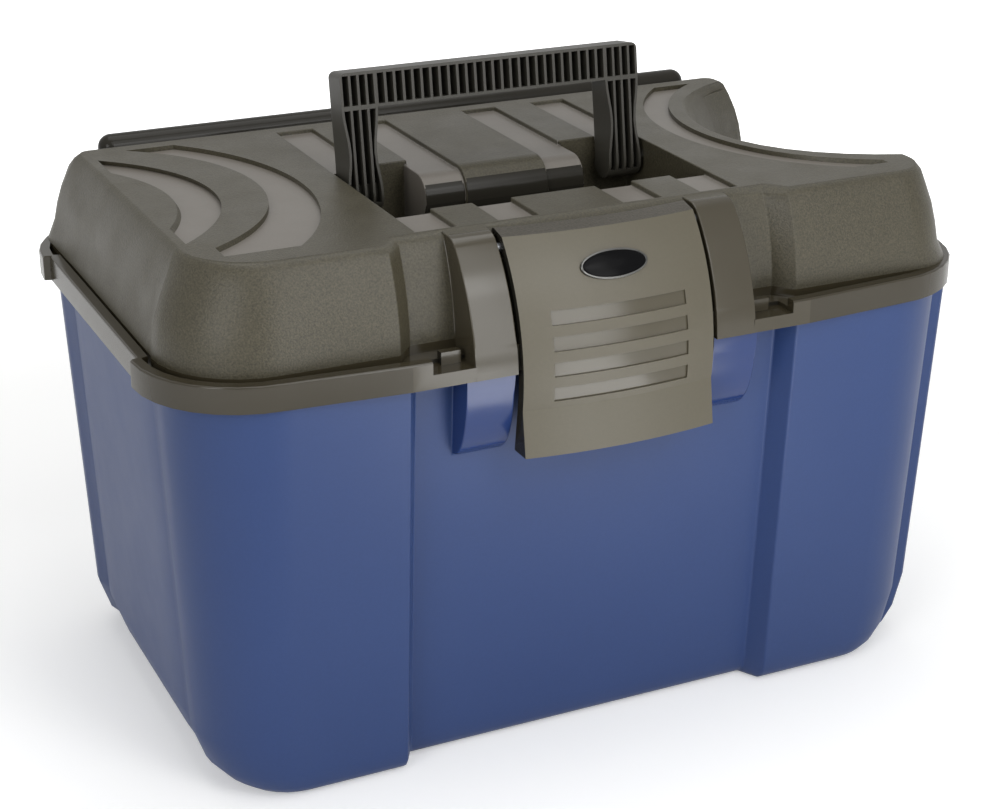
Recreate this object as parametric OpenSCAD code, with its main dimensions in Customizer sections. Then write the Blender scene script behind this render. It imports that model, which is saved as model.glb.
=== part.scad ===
// Horse grooming box: a moulded tub under a domed lid on two rear hinges, with a front latch flap,
// a carrying handle that folds into the lid's well, and a lift-out tray inside.
// Millimetres. +X runs right along the front, -Y faces the front, +Z is up, and z = 0 is the floor.

/* [Lid rim] */
// Outside length of the lid's rim
rim_l = 400; // [370:1:440]
// Outside depth of the lid's rim
rim_w = 252; // [236:1:280]
// Radius of the rim's corners
rim_r = 50; // [44:1:56]
// Height of the rim band
rim_h = 12; // [10:0.5:16]
// Height of the rim's lower edge above the floor
parting_z = 195; // [175:1:230]
// Flat width on top of the rim
rim_flat = 5; // [3.5:0.25:6.5]
// How far the rim's front stands out between its corners
rim_bow = 4; // [2:0.25:5]
// Depth of the groove between rim and dome
groove_d = 4; // [2:0.5:5]
// Set-back of the rim between its end bumpers
bumper_in = 3; // [1:0.25:4]
// Distance of a bumper's end from the middle of the box
bumper_y = 74; // [60:1:75]

/* [Lid dome] */
// Height of the dome above the rim
dome_h = 44; // [38:1:60]
// Inset of the dome's foot from the rim's outside
dome_foot_in = 8.5; // [8:0.25:12]
// Inset of the dome's top at the two ends
dome_end_in = 25.5; // [20:0.5:32]
// Inset of the dome's top at the front
dome_front_in = 20.5; // [16:0.5:23]
// Inset of the dome's top at the rear
dome_rear_in = 33; // [28:0.5:40]
// Set-back of the dome's front between its corner blocks
dome_recess = 9; // [5:0.5:12]
// Half length of the set-back front
recess_x = 89; // [84:0.5:100]
// Depth of the hollow in the right end
scoop_d = 56; // [40:1:60]
// Half width of the hollow in the right end
scoop_half = 83; // [76:1:84]
// Wall of the lid
lid_wall = 3; // [2.5:0.1:3.5]
// Thickness of the lid's top
deck_t = 5; // [4:0.25:7]
// Depth of the stripes and crescents in the top
relief_d = 2.2; // [1:0.1:3]

/* [Handle well] */
// Half length of the well
well_half_x = 78.5; // [74:0.5:84]
// Front wall of the well
well_front_y = 64; // [60:0.5:70]
// Depth of the well
well_d = 28; // [26:0.5:32]
// Half length of the tongue between the handle's legs
tongue_half_x = 41; // [34:0.5:46]
// Wall of the well
well_wall = 5; // [4:0.25:6]

/* [Handle] */
// Depth of the handle, front to back
handle_d = 16; // [13:0.5:17]
// Length of a leg from its pivot to the top of the grip
handle_reach = 56.5; // [52:0.5:58]
// Height of the grip
grip_h = 16.5; // [14:0.5:20]
// Width of a leg
leg_w = 17.5; // [16:0.5:22]
// Angle at which the raised handle leans back
handle_lean = 8; // [2:0.5:8]
// Diameter of a handle pin
handle_pin_d = 6; // [4:0.25:7]

/* [Tub] */
// Inset of the tub's corner blocks from the rim's end
tub_end_in = 8.5; // [8:0.25:12]
// Inset of the tub's corner blocks from the rim's front
tub_front_in = 2.5; // [1.5:0.25:4]
// Radius of the tub's corners
tub_r = 45; // [38:1:50]
// Set-back of the middle panels
panel_recess = 10; // [6:0.5:13]
// Draft of the ends, in degrees
draft_end = 2.2; // [1:0.1:3]
// Draft of the front and rear, in degrees
draft_front = 3.6; // [2:0.1:4.4]
// Wall of the tub
tub_wall = 3.5; // [3:0.1:4.5]
// Thickness of the floor
floor_t = 3.5; // [2.5:0.25:6]
// Radius at the foot of the ends
foot_end_r = 30; // [16:1:34]
// Radius at the foot of the front and rear
foot_front_r = 9; // [6:0.5:13]

/* [Latch] */
// Width of the latch flap
latch_w = 93; // [86:1:95]
// Radius of the flap's curved face
latch_r = 90; // [80:1:100]
// Thickness of the flap
latch_t = 2.8; // [2:0.1:3.2]
// Diameter of the latch pin
latch_pin_d = 4; // [3:0.25:5]
// Length of the oval badge
badge_l = 32; // [26:1:40]
// Height of the oval badge
badge_h = 13; // [10:0.5:16]

/* [Hinges] */
// Outside diameter of a hinge knuckle
knuckle_d = 10; // [8:0.25:10]
// Diameter of a hinge pin
hinge_pin_d = 4; // [3:0.25:5]
// Distance of a hinge's middle from the middle of the box
hinge_x = 62; // [45:1:66]
// Length of the lid's knuckle in each hinge
lid_knuckle_l = 22; // [14:1:26]
// Length of each of the tub's knuckles
tub_knuckle_l = 11; // [8:1:13]

/* [Tray] */
// Distance of the tray's ends from the rim's ends
tray_end_in = 19; // [17:0.5:35]
// Distance of the tray's front and rear from the rim's
tray_front_in = 22; // [21:0.5:31]
// Depth of the tray
tray_d = 45; // [30:1:60]
// Wall of the tray
tray_wall = 2; // [1.6:0.1:3]
// Distance of the tray's rim below the parting line
tray_drop = 14; // [10:0.5:20]

/* [Hidden] */
$fn = 48;

// Clearances
seat_gap = 0.3;
side_gap = 0.4;
pin_fit = 0.02;
pin_run = 0.06;
overrun = 2;

// Segments along the arcs of the outlines
arc_steps = 8;
scoop_steps = 16;

// Convex rings on the floor and the lid's top
plain_in = 6;
plain_r = 6;
plain_share = 0.9;

// Lid heights and half sizes
rim_x = rim_l / 2;
rim_y = rim_w / 2;
rim_top = parting_z + rim_h;
lid_top = rim_top + dome_h;
skirt_t = 2.5;
rim_bevel = 1;
bumper_slant = 1;
groove_floor = rim_top - groove_d;
ceiling_z = groove_floor - lid_wall;
dome_edge_r = 3;
dome_edge_share = 0.3;
foot_left_r = rim_r - 8;
foot_right_r = foot_left_r - 15;
foot_rear_r = 22;
corner_shrink = 7;
rear_corner_shrink = 14;
recess_slant = 7.5;
left_point_shares = [0.25, 0.5, 0.8, 0.985];
left_end_in = 0.8;
dome_bulge = 2;
dome_level_shares = [0.8, 0.6, 0.4, 0.2, 0];
inner_level_shares = [0, 0.35, 0.65];

// Rear rail of the lid
rail_half = rim_x - 38;
rail_front = rim_y - 28;
rail_back = rim_y - 15;
rail_top = lid_top + 1.5;
rail_foot = rim_top + 4;
rail_r = (rail_back - rail_front) / 2;

// Stripes along the top
stripe_w = 18.6;
stripe_inner_x = 21;
stripe_rear_y = rim_y - 44;
stripe_front_y = rim_y - 34;

// Crescents in the top: middle, radius
crescent_far = [[-rim_x - 28, 2], rim_y - 34];
crescent_far_cut = [[-rim_x - 42, 2], rim_y - 38];
crescent_far_tip_x = 33 - rim_x;
crescent_near = [[-rim_x - 27, -5], rim_y + 4];
crescent_near_cut = [[-rim_x - 15.5, 5], rim_y - 26];
crescent_near_tip_x = 42 - rim_x;
crescent_rear_y = rim_y - 44;
crescent_front_y = 37 - rim_y;
scoop_band_in = 8.5;
scoop_band_w = 13;
scoop_band_tip_x = rim_x - 42;

// Well, tongue and handle pivot
well_rear_y = 10;
well_floor = lid_top - well_d;
tongue_r = 13;
tongue_front_y = -18;
tongue_lip_z = lid_top - 15;
tongue_under = 5;
pivot_y = 0;
pivot_z = lid_top - 10;
handle_gap = 2.5;
handle_half = well_half_x - handle_gap;
handle_corner_r = 5;
grip_inner_x = handle_half - leg_w;

// Slots in the handle's open front
grip_slot_pitch = 4.5;
grip_fin_t = 1.4;
leg_fin_t = 1.2;
slot_wall = 2;
slot_back_t = 4;
leg_slots = 4;
leg_slot_pitch = (leg_w - leg_fin_t) / leg_slots;
leg_rib_t = 2.1;
leg_rib_z = handle_reach - grip_h - leg_rib_t / 3;
leg_slot_foot = 9;
leg_slot_low = -4.5;
leg_slot_low_d = 3.2;
grip_slots = floor(2 * grip_inner_x / grip_slot_pitch);
handle_pin_grip = 14;
handle_bore_r = handle_pin_d / 2 + pin_run;

// Tub heights and outline
tub_top = parting_z - seat_gap;
tub_lip_in = 1.5;
tub_lip_top = tub_top + 4;
panel_slant = 5.5;
crease_y = 69;
crease_d = 2.8;
left_panel_in = 0.8;
left_edge_l = 20;
left_edge_shares = [0.25, 0.55, 1];
right_panel_out = 6.2;
right_lip_out = min(right_panel_out, tub_end_in + tub_lip_in - bumper_in - skirt_t - side_gap);
right_edge_r = 4.5;
right_arc_end = 24;
right_edge_start = 78;
right_edge_steps = 4;
corner_share = 0.5;
foot_level_shares = [0, 0.03, 0.1, 0.22, 0.45, 1];

// Tray supports in the tub
rib_t = 3;
rib_reach = 20;
rib_lean = 4;
rib_y = 52;

// Cheeks beside the latch, on the lid and on the tub
cheek_inner_x = 48.5;
cheek_w = 19.5;
tub_cheek_w = 22.5;

// Pockets in the rim beside the cheeks, and the lug in each
pocket_end_x = recess_x - 1.5;
pocket_floor = parting_z + 6.2;
pocket_back_y = dome_foot_in - rim_y;
lug_x = [cheek_inner_x + cheek_w + 3, cheek_inner_x + cheek_w + 12];
lug_y = [5 - rim_y, 9 - rim_y];
lug_top = rim_top - 0.3;
cheek_round_share = 0.965;
cheek_drop = 0.3;
cheek_roll = 8;
tub_cheek_out = 14;
tub_cheek_low_out = 15;
tub_cheek_h = 40;
tub_cheek_round = 3;

// Latch: middle of its curved face and the angles along it
latch_front_y = -(rim_y + 7.5);
latch_mid_y = latch_front_y + latch_r;
latch_mid_z = parting_z - 5;
latch_top_a = 41;
latch_crease_a = -8;
latch_steps = 16;
latch_lip_drop = 21;
latch_lip_flare = 3;
latch_lip_side_d = 11;
latch_band_y = 8;
latch_band_z = 1.8;
latch_side_d = 5;
latch_side_t = 2.5;
latch_knuckle_d = 9;
latch_axis = [-(rim_y - 19.5), lid_top - 7];
latch_web_t = 4;
hook_half = 30;
hook_t = 3;
hook_drop = 26;
catch_out = 9;
catch_t = 4;
catch_rise = 6;
strip_half = 32.5;
strip_count = 4;
strip_d = 0.7;
strip_top_a = 19.4;
strip_a = 4;
strip_gap_a = 3.15;
badge_a = 30;
badge_sink = 1;
badge_t = 1.8;
badge_fit = 0.15;
badge_steps = 48;
pin_head = 14;
latch_sweep_r = norm(on_latch(latch_top_a, 0) + [latch_band_y, latch_band_z] - latch_axis) + side_gap;

// Hinge axis, on the rear face of the tub's corner blocks
hinge_y = rim_y - 5;
hinge_z = parting_z - 6.5;
hinge_web_h = 9;
hinge_gap = 0.35;
hinge_pin_half = lid_knuckle_l / 2 + hinge_gap + tub_knuckle_l;

// Tray size, heights and walls
tray_l = rim_l - 2 * tray_end_in;
tray_w = rim_w - 2 * tray_front_in;
tray_top = parting_z - tray_drop;
tray_bottom = tray_top - tray_d;
tray_draft = 2;
tray_r = 32;
tray_foot_r = 6;
tray_flange = 3;
tray_flange_t = 2;
tray_grip_t = 5;
tray_grip_half = 48;
tray_grip_slot_h = 22;
tray_divider_t = 2.2;
tray_divider_share = 0.3;

// Colours
tub_blue = "#2f4fa2";
lid_grey = "#6d685f";
handle_grey = "#5f5a52";
steel_grey = "#b4b6b8";
badge_black = "#1a1a1c";
tray_grey = "#7a766d";

// Points of an arc about c
function arc(c, r, a0, a1, n) =
    [for (i = [0 : n]) let (a = a0 + (a1 - a0) * i / n) c + r * [cos(a), sin(a)]];

// Points of a curve from p0 to p2 that leaves and arrives along the lines to p1
function curve(p0, p1, p2, n) = [for (i = [0 : n]) let (t = i / n)
    p0 * (1 - t) * (1 - t) + p1 * 2 * t * (1 - t) + p2 * t * t];

// The same points mirrored front to back, in the other order
function flip_y(pts) = [for (i = [len(pts) - 1 : -1 : 0]) [pts[i][0], -pts[i][1]]];

// The same points mirrored left to right, in the other order
function flip_x(pts) = [for (i = [len(pts) - 1 : -1 : 0]) [-pts[i][0], pts[i][1]]];

function at_z(pts, z) = [for (p = pts) [p[0], p[1], z]];

// How far a rounded foot of radius r stands in at height z
function foot_in(z, r) = z < r ? r - sqrt(r * r - (r - z) * (r - z)) : 0;

// Front edge with its set-back middle, from left to right
function front_edge(y, recess, x, slant) =
    [[-x - slant, -y], [-x, recess - y], [x, recess - y], [x + slant, -y]];

// Hollowed end at half length hx, from front to rear, about y = mid
function hollow_end(hx, mid, half, depth) =
    let (r = depth > 0 ? (half * half + depth * depth) / (2 * depth) : 0, turn = depth > 0 ? asin(half / r) : 0)
    [for (i = [-scoop_steps / 2 : scoop_steps / 2])
        let (u = 2 * i / scoop_steps)
        depth > 0 ? [hx - depth + r - r * cos(turn * u), mid + r * sin(turn * u)] : [hx, mid + half * u]];

// Outline of the lid's rim, inset by d; its front stands out by bow between the corners
function rim_outline(d, bow = 0) =
    let (hx = rim_x - d, hy = rim_y - d, r = rim_r - d,
         step = [[hx, -bumper_y], [hx - bumper_in, bumper_slant - bumper_y]],
         corner = arc([hx - r, r - hy], r, -90, 0, arc_steps),
         mid = hollow_end(hx - bumper_in, 0, bumper_y - 2 * bumper_slant, 0))
    concat(front_edge(hy + bow, 0, recess_x, recess_slant), corner, step, mid, flip_y(step), flip_y(corner),
        flip_x(flip_y(corner)), flip_x(flip_y(step)), flip_x(step), flip_x(corner));

// Outline of the dome at a share of its height, 0 at its foot and 1 at its top, inset by d. Its sides bulge;
// the plain one is convex, with as many points, and lies inside it
function dome_outline(level, d, plain = false) =
    let (share = pow(level, dome_bulge),
         hx = rim_x - dome_foot_in - (dome_end_in - dome_foot_in) * share - d,
         yf = rim_y - dome_foot_in - (dome_front_in - dome_foot_in) * share - d,
         yr = rim_y - dome_foot_in - (dome_rear_in - dome_foot_in) * share - d,
         rl = foot_left_r - corner_shrink * share - d,
         rr = foot_right_r - corner_shrink * share - d,
         rb = foot_rear_r - rear_corner_shrink * share - d,
         half = scoop_half - d,
         mid = (yr - rb - yf + rr) / 2,
         reach = min(half, (yr - rb + yf - rr) / 2 - bumper_slant),
         front_right = arc([hx - rr, rr - yf], rr, -90, 0, arc_steps),
         rear_right = arc([hx - rb, yr - rb], rb, 0, 90, arc_steps),
         rear_left = flip_x(rear_right),
         front_left = flip_x(arc([hx - rl, rl - yf], rl, -90, 0, arc_steps)),
         right_end = concat([[hx, mid - reach - bumper_slant / 2], [hx, mid - reach - bumper_slant / 4]],
             hollow_end(hx, mid, reach, scoop_d),
             [[hx, mid + reach + bumper_slant / 4], [hx, mid + reach + bumper_slant / 2]]),
         left_high = yr - rb,
         left_low = rl - yf,
         left = [for (t = left_point_shares) [left_end_in - hx, left_high + (left_low - left_high) * t]],
         px = hx - scoop_d - plain_in,
         pf = yf - dome_recess - plain_in,
         pr = yr - rb - plain_in,
         fx = min(recess_x + d, px - plain_r - recess_slant - bumper_slant),
         plain_front = arc([px - plain_r, plain_r - pf], plain_r, -90, 0, arc_steps),
         plain_rear = arc([px - plain_r, pr - plain_r], plain_r, 0, 90, arc_steps),
         shift = [hx - plain_in - px, 0])
    plain
    ? concat(front_edge(pf, 0, fx, recess_slant), plain_front,
        [for (p = right_end) [px, mid + (p[1] - mid) * plain_share]], plain_rear,
        [for (p = flip_x(plain_rear)) p - shift],
        [for (t = left_point_shares) [plain_in - hx, pr - plain_r + (2 * plain_r - pf - pr) * t]],
        [for (p = flip_x(plain_front)) p - shift])
    : concat(front_edge(yf, dome_recess, recess_x + d, recess_slant), front_right, right_end,
        rear_right, rear_left, left, front_left);

// Outline of the tub, inset by ix at its ends, iy at front and rear, and w for its wall;
// out is how far the right end's panel stands beyond the corner blocks
function tub_outline(ix, iy, w, out) =
    let (hx = rim_x - tub_end_in - ix - w,
         hy = rim_y - tub_front_in - iy - w,
         r = tub_r - (ix + iy) * corner_share - w,
         middle = [hx - r, r - hy],
         px = hx + out,
         edge_mid = [px - right_edge_r, middle[1] - r * sin(right_arc_end) + right_edge_r],
         right_front = concat(arc(middle, r, -90, -right_arc_end, arc_steps),
             arc(edge_mid, right_edge_r, -right_edge_start, 0, right_edge_steps)),
         left_front = concat(
             [for (i = [len(left_edge_shares) - 1 : -1 : 0]) let (t = left_edge_shares[i])
                 [-(hx - left_panel_in - (crease_d - left_panel_in) * (1 - t) * (1 - t)), left_edge_l * t - crease_y]],
             [[-(hx - crease_d), -crease_y]],
             arc([-middle[0], middle[1]], r, 180, 270, arc_steps)),
         front = front_edge(hy, panel_recess, recess_x + w, panel_slant))
    concat(front, right_front, flip_y(right_front), flip_y(front), flip_y(left_front), left_front);

// Convex outline with as many points as the tub's, which lies inside it on the floor
function tub_plain(ix, iy, w) =
    let (hx = rim_x - tub_end_in - ix - w - plain_in,
         hy = rim_y - tub_front_in - iy - w - panel_recess - plain_in,
         r = plain_r,
         count = len(left_edge_shares) + 1,
         right_front = arc([hx - r, r - hy], r, -90, 0, arc_steps + right_edge_steps + 1),
         left_front = concat([for (i = [1 : count]) [-hx, (r - hy) * i / (count + 1)]],
             arc([r - hx, r - hy], r, 180, 270, arc_steps)),
         front = front_edge(hy, 0, recess_x + w, panel_slant))
    concat(front, right_front, flip_y(right_front), flip_y(front), flip_y(left_front), left_front);

// Outline of the tub at height z
function tub_ring(z, level, w, plain = false, out = right_panel_out) =
    let (rise = parting_z - min(level, parting_z),
         ix = tan(draft_end) * rise + foot_in(level, foot_end_r),
         iy = tan(draft_front) * rise + foot_in(level, foot_front_r))
    at_z(plain ? tub_plain(ix, iy, w) : tub_outline(ix, iy, w, out), z);

// Outline of the tray, inset by d
function tray_outline(d) =
    let (hx = tray_l / 2 - d, hy = tray_w / 2 - d, r = tray_r - d,
         corner = arc([hx - r, r - hy], r, -90, 0, arc_steps))
    concat(corner, flip_y(corner), flip_x(flip_y(corner)), flip_x(corner));

// Middle of a ring of points
function middle_of(ring) = [for (k = [0 : 2]) [for (p = ring) p[k]] * [for (p = ring) 1] / len(ring)];

// Solid between a chain of rings with the same number of points; its first and last ring are convex
module skin(rings) {
    n = len(rings[0]);
    m = len(rings);
    sides = [for (j = [0 : m - 2], i = [0 : n - 1])
        let (a = j * n + i, b = j * n + (i + 1) % n)
        each [[a, b, b + n], [a, b + n, a + n]]];
    first_cap = [for (i = [0 : n - 1]) [m * n, (i + 1) % n, i]];
    last_cap = [for (i = [0 : n - 1]) [m * n + 1, (m - 1) * n + i, (m - 1) * n + (i + 1) % n]];
    polyhedron(concat([for (ring = rings) each ring], [middle_of(rings[0]), middle_of(rings[m - 1])]),
        concat(first_cap, sides, last_cap), convexity = 10);
}

// A side profile in Y and Z, drawn out along X from x0 to x1
module along_x(x0, x1) {
    translate([x0, 0, 0]) rotate([90, 0, 90]) linear_extrude(x1 - x0) children();
}

// A round bar along X at [y, z]
module bar_x(place, d, x0, x1) {
    translate([x0, place[0], place[1]]) rotate([0, 90, 0]) cylinder(d = d, h = x1 - x0);
}

// A block between two corners
module block(low, high) {
    translate(low) cube(high - low);
}

// Its children on the right, and mirrored on the left
module both_sides() {
    children();
    mirror([1, 0, 0]) children();
}

// Height of the set-back front panel's face at z, as a distance from the middle
function panel_y(z) = rim_y - tub_front_in - panel_recess - tan(draft_front) * (parting_z - z);

module tub_shell() {
    levels = [for (s = foot_level_shares) s * foot_end_r];
    skin(concat(
        [tub_ring(floor_t, 0, tub_wall, true)],
        [for (z = levels) tub_ring(z + floor_t, z, tub_wall)],
        [for (w = [tub_wall, tub_lip_in]) tub_ring(tub_lip_top, parting_z, w, false, right_lip_out)],
        [tub_ring(tub_top, parting_z, tub_lip_in, false, right_lip_out), tub_ring(tub_top, parting_z, 0)],
        [for (i = [len(levels) - 1 : -1 : 0]) tub_ring(levels[i], levels[i], 0)],
        [tub_ring(0, 0, 0, true)]));
}

// Fins that frame the latch's lower end, on the tub's front panel
module tub_cheek() {
    top_y = -panel_y(tub_top);
    low_z = tub_top - tub_cheek_h;
    low_y = -panel_y(low_z);
    along_x(cheek_inner_x, cheek_inner_x + tub_cheek_w)
        polygon(concat([[top_y + tub_wall / 2, tub_top]],
            curve([top_y - tub_cheek_out, tub_top], [low_y - tub_cheek_low_out, low_z + tub_cheek_round],
                [low_y, low_z], arc_steps),
            [[low_y + tub_wall / 2, low_z]]));
}

// Ledge behind the latch flap that its hook stands under
module catch_ledge() {
    z = latch_mid_z - hook_drop + catch_rise;
    block([-hook_half, -panel_y(z) - catch_out, z], [hook_half, tub_wall / 2 - panel_y(z), z + catch_t]);
}

// The tub's two knuckles of one hinge, each on its own arm from the rear panel
module tub_knuckles() {
    inner = lid_knuckle_l / 2 + hinge_gap;
    for (side = [-1, 1]) {
        x0 = hinge_x + (side > 0 ? inner : -inner - tub_knuckle_l);
        bar_x([hinge_y, hinge_z], knuckle_d, x0, x0 + tub_knuckle_l);
        block([x0, panel_y(hinge_z) - tub_wall / 2, hinge_z - hinge_web_h / 2],
            [x0 + tub_knuckle_l, hinge_y, hinge_z + hinge_web_h / 2]);
    }
}

// Ribs on one end wall that the tray stands on; out is how far that wall stands beyond the blocks
module tray_ribs(out) {
    wall_x = rim_x - tub_end_in - tub_wall / 2 + out;
    foot = [for (s = foot_level_shares) s * foot_end_r];
    top = tray_bottom - seat_gap;
    rib_in = wall_x - tan(draft_end) * (parting_z - top);
    for (y = [-rib_y, rib_y]) translate([0, y + rib_t / 2, 0]) rotate([90, 0, 0]) linear_extrude(rib_t)
        polygon(concat([[rib_in - rib_reach, top], [rib_in - rib_reach - rib_lean, floor_t / 2]],
            [for (z = foot) [wall_x - tan(draft_end) * (parting_z - z) - foot_in(z, foot_end_r), z + floor_t / 2]],
            [[rib_in, top]]));
}

module tub() {
    color(tub_blue) difference() {
        union() {
            tub_shell();
            both_sides() {
                tub_cheek();
                tub_knuckles();
            }
            catch_ledge();
            tray_ribs(right_panel_out);
            mirror([1, 0, 0]) tray_ribs(-left_panel_in);
        }
        both_sides() bar_x([hinge_y, hinge_z], hinge_pin_d + 2 * pin_fit,
            hinge_x - hinge_pin_half - overrun, hinge_x + hinge_pin_half + overrun);
    }
}

module lid_shell() {
    top_share = (dome_h - dome_edge_r) / dome_h;
    deck_share = (dome_h - deck_t) / dome_h;
    skin([
        at_z(dome_outline(1, dome_edge_r, true), lid_top),
        at_z(dome_outline(1, dome_edge_r), lid_top),
        at_z(dome_outline(1, dome_edge_r * dome_edge_share), lid_top - dome_edge_r * dome_edge_share),
        at_z(dome_outline(top_share, 0), lid_top - dome_edge_r),
        for (s = dome_level_shares) at_z(dome_outline(s, 0), rim_top + dome_h * s),
        at_z(dome_outline(0, 0), groove_floor),
        at_z(rim_outline(rim_flat, rim_bow), groove_floor),
        at_z(rim_outline(rim_flat, rim_bow), rim_top),
        at_z(rim_outline(rim_bevel, rim_bow), rim_top),
        at_z(rim_outline(0, rim_bow), rim_top - rim_bevel),
        at_z(rim_outline(0, rim_bow), parting_z),
        at_z(rim_outline(skirt_t), parting_z),
        at_z(rim_outline(skirt_t), ceiling_z),
        at_z(dome_outline(0, lid_wall), ceiling_z),
        for (s = inner_level_shares) at_z(dome_outline(s, lid_wall), rim_top + dome_h * s),
        at_z(dome_outline(deck_share, lid_wall), lid_top - deck_t),
        at_z(dome_outline(deck_share, lid_wall, true), lid_top - deck_t)]);
}

// Rounded rail along the lid's rear edge
module rear_rail() {
    block([-rail_half + rail_r, rail_front, rail_foot], [rail_half - rail_r, rail_back, rail_top - rail_r]);
    bar_x([rail_front + rail_r, rail_top - rail_r], 2 * rail_r, rail_r - rail_half, rail_half - rail_r);
    both_sides() translate([rail_half - rail_r, rail_front + rail_r, 0]) {
        translate([0, 0, rail_foot]) cylinder(r = rail_r, h = rail_top - rail_r - rail_foot);
        translate([0, 0, rail_top - rail_r]) sphere(r = rail_r);
    }
}

// Side profile of the lid's cheeks, set a little inside the latch's curve
module cheek_profile() {
    r = latch_r * cheek_round_share;
    top_a = latch_top_a;
    foot_a = asin((parting_z - latch_mid_z) / r);
    end = [latch_mid_y - r * cos(top_a), latch_mid_z + r * sin(top_a)];
    top_z = lid_top - cheek_drop;
    back_y = dome_recess + dome_front_in + lid_wall - rim_y;
    polygon(concat([[-(rim_y - rim_flat), parting_z]],
        [for (i = [0 : latch_steps - 1]) let (a = foot_a + (top_a - foot_a) * i / latch_steps)
            [latch_mid_y - r * cos(a), latch_mid_z + r * sin(a)]],
        curve(end, [end[0] + (top_z - end[1]) * tan(top_a), top_z], [end[0] + cheek_roll, top_z], arc_steps / 2),
        [[back_y, top_z], [back_y, lid_top - deck_t], [dome_recess + dome_foot_in + lid_wall - rim_y, rim_top]]));
}

// The lid's knuckle of one hinge, hung from the rim's rear skirt
module lid_knuckle() {
    x0 = hinge_x - lid_knuckle_l / 2;
    bar_x([hinge_y, hinge_z], knuckle_d, x0, x0 + lid_knuckle_l);
    block([x0, hinge_y - hinge_web_h / 4, hinge_z], [x0 + lid_knuckle_l, rim_y, parting_z + skirt_t]);
}

// Outside of the well, which hangs below the lid's top
module well_shell() {
    block([-well_half_x - well_wall, -well_front_y - well_wall, well_floor - lid_wall],
        [well_half_x + well_wall, well_rear_y + well_wall, lid_top - deck_t / 2]);
}

// Tongue between the handle's legs, with a rounded front; it is set in by d where the stripes run
module tongue(half, d) {
    round_y = tongue_front_y + tongue_r;
    block([-half, round_y, well_floor - overrun], [half, well_rear_y + overrun, lid_top - d]);
    bar_x([round_y, lid_top - tongue_r], 2 * (tongue_r - d), -half, half);
    block([-half, tongue_front_y + d, tongue_lip_z], [half, round_y, lid_top - tongue_r]);
    block([-half, tongue_front_y + tongue_under, well_floor - overrun], [half, round_y, lid_top - tongue_r]);
}

module well_pocket() {
    difference() {
        block([-well_half_x, -well_front_y, well_floor], [well_half_x, well_rear_y, lid_top + overrun]);
        tongue(tongue_half_x, relief_d);
        tongue(stripe_inner_x, 0);
    }
}

// Four stripes that run from the rear of the top, through the well, to its front
module stripes() {
    both_sides() for (x = [stripe_inner_x, well_half_x - stripe_w])
        block([x, -stripe_front_y, lid_top - relief_d], [x + stripe_w, stripe_rear_y, lid_top + overrun]);
}

// A crescent: one circle cut by another, ended at tip_x and at the front and rear of the top
module crescent(outside, cut, tip_x) {
    intersection() {
        difference() {
            translate(outside[0]) circle(outside[1], $fn = 2 * $fn);
            translate(cut[0]) circle(cut[1], $fn = 2 * $fn);
        }
        translate([tip_x, crescent_front_y]) square([-tip_x, crescent_rear_y - crescent_front_y]);
    }
}

module crescents() {
    scoop_r = (scoop_half * scoop_half + scoop_d * scoop_d) / (2 * scoop_d);
    scoop_mid = [rim_x - dome_end_in - scoop_d + scoop_r, 0];
    translate([0, 0, lid_top - relief_d]) linear_extrude(relief_d + overrun) {
        crescent(crescent_far, crescent_far_cut, crescent_far_tip_x);
        crescent(crescent_near, crescent_near_cut, crescent_near_tip_x);
        intersection() {
            difference() {
                translate(scoop_mid) circle(scoop_r + scoop_band_in + scoop_band_w, $fn = 2 * $fn);
                translate(scoop_mid) circle(scoop_r + scoop_band_in, $fn = 2 * $fn);
            }
            translate([0, crescent_front_y]) square([scoop_band_tip_x, crescent_rear_y - crescent_front_y]);
        }
    }
}

// Space for the latch and the cheeks in front of the rim, and the pockets in the rim beside them
module rim_cuts() {
    front = -rim_y - rim_bow - overrun;
    end_x = cheek_inner_x + cheek_w - side_gap;
    block([-end_x, front, parting_z - overrun], [end_x, -rim_y, rim_top + overrun]);
    both_sides()
        block([end_x - overrun, front, pocket_floor], [pocket_end_x, pocket_back_y, rim_top + overrun]);
}

module lid() {
    color(lid_grey) difference() {
        union() {
            difference() {
                lid_shell();
                rim_cuts();
            }
            both_sides() block([lug_x[0], lug_y[0], ceiling_z + side_gap], [lug_x[1], lug_y[1], lug_top]);
            well_shell();
            rear_rail();
            both_sides() {
                along_x(cheek_inner_x, cheek_inner_x + cheek_w) cheek_profile();
                lid_knuckle();
            }
        }
        well_pocket();
        stripes();
        crescents();
        both_sides() {
            bar_x([pivot_y, pivot_z], handle_pin_d + 2 * pin_fit,
                well_half_x - overrun, well_half_x + well_wall + overrun);
            bar_x([hinge_y, hinge_z], hinge_pin_d + 2 * pin_run,
                hinge_x - hinge_pin_half, hinge_x + hinge_pin_half);
            bar_x(latch_axis, latch_pin_d + 2 * pin_fit, 0, cheek_inner_x + pin_head);
            bar_x(latch_axis, 2 * latch_sweep_r, 0, cheek_inner_x);
        }
    }
}

// Point on the latch's curve at angle a, t below its face
function on_latch(a, t) = [latch_mid_y - (latch_r - t) * cos(a), latch_mid_z + (latch_r - t) * sin(a)];

// Strip of the latch's curved wall between two depths and two angles
module latch_band(t0, t1, a0, a1) {
    polygon(concat([for (i = [0 : latch_steps]) on_latch(a0 + (a1 - a0) * i / latch_steps, t0)],
        [for (i = [latch_steps : -1 : 0]) on_latch(a0 + (a1 - a0) * i / latch_steps, t1)]));
}

// Band that closes the flap's top, back over the pin
module latch_top() {
    front = on_latch(latch_top_a, 0);
    polygon([on_latch(latch_top_a - strip_a, 0), front, front + [latch_band_y, latch_band_z],
        [latch_axis[0], latch_axis[1]], on_latch(latch_top_a - strip_a, latch_t)]);
}

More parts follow.
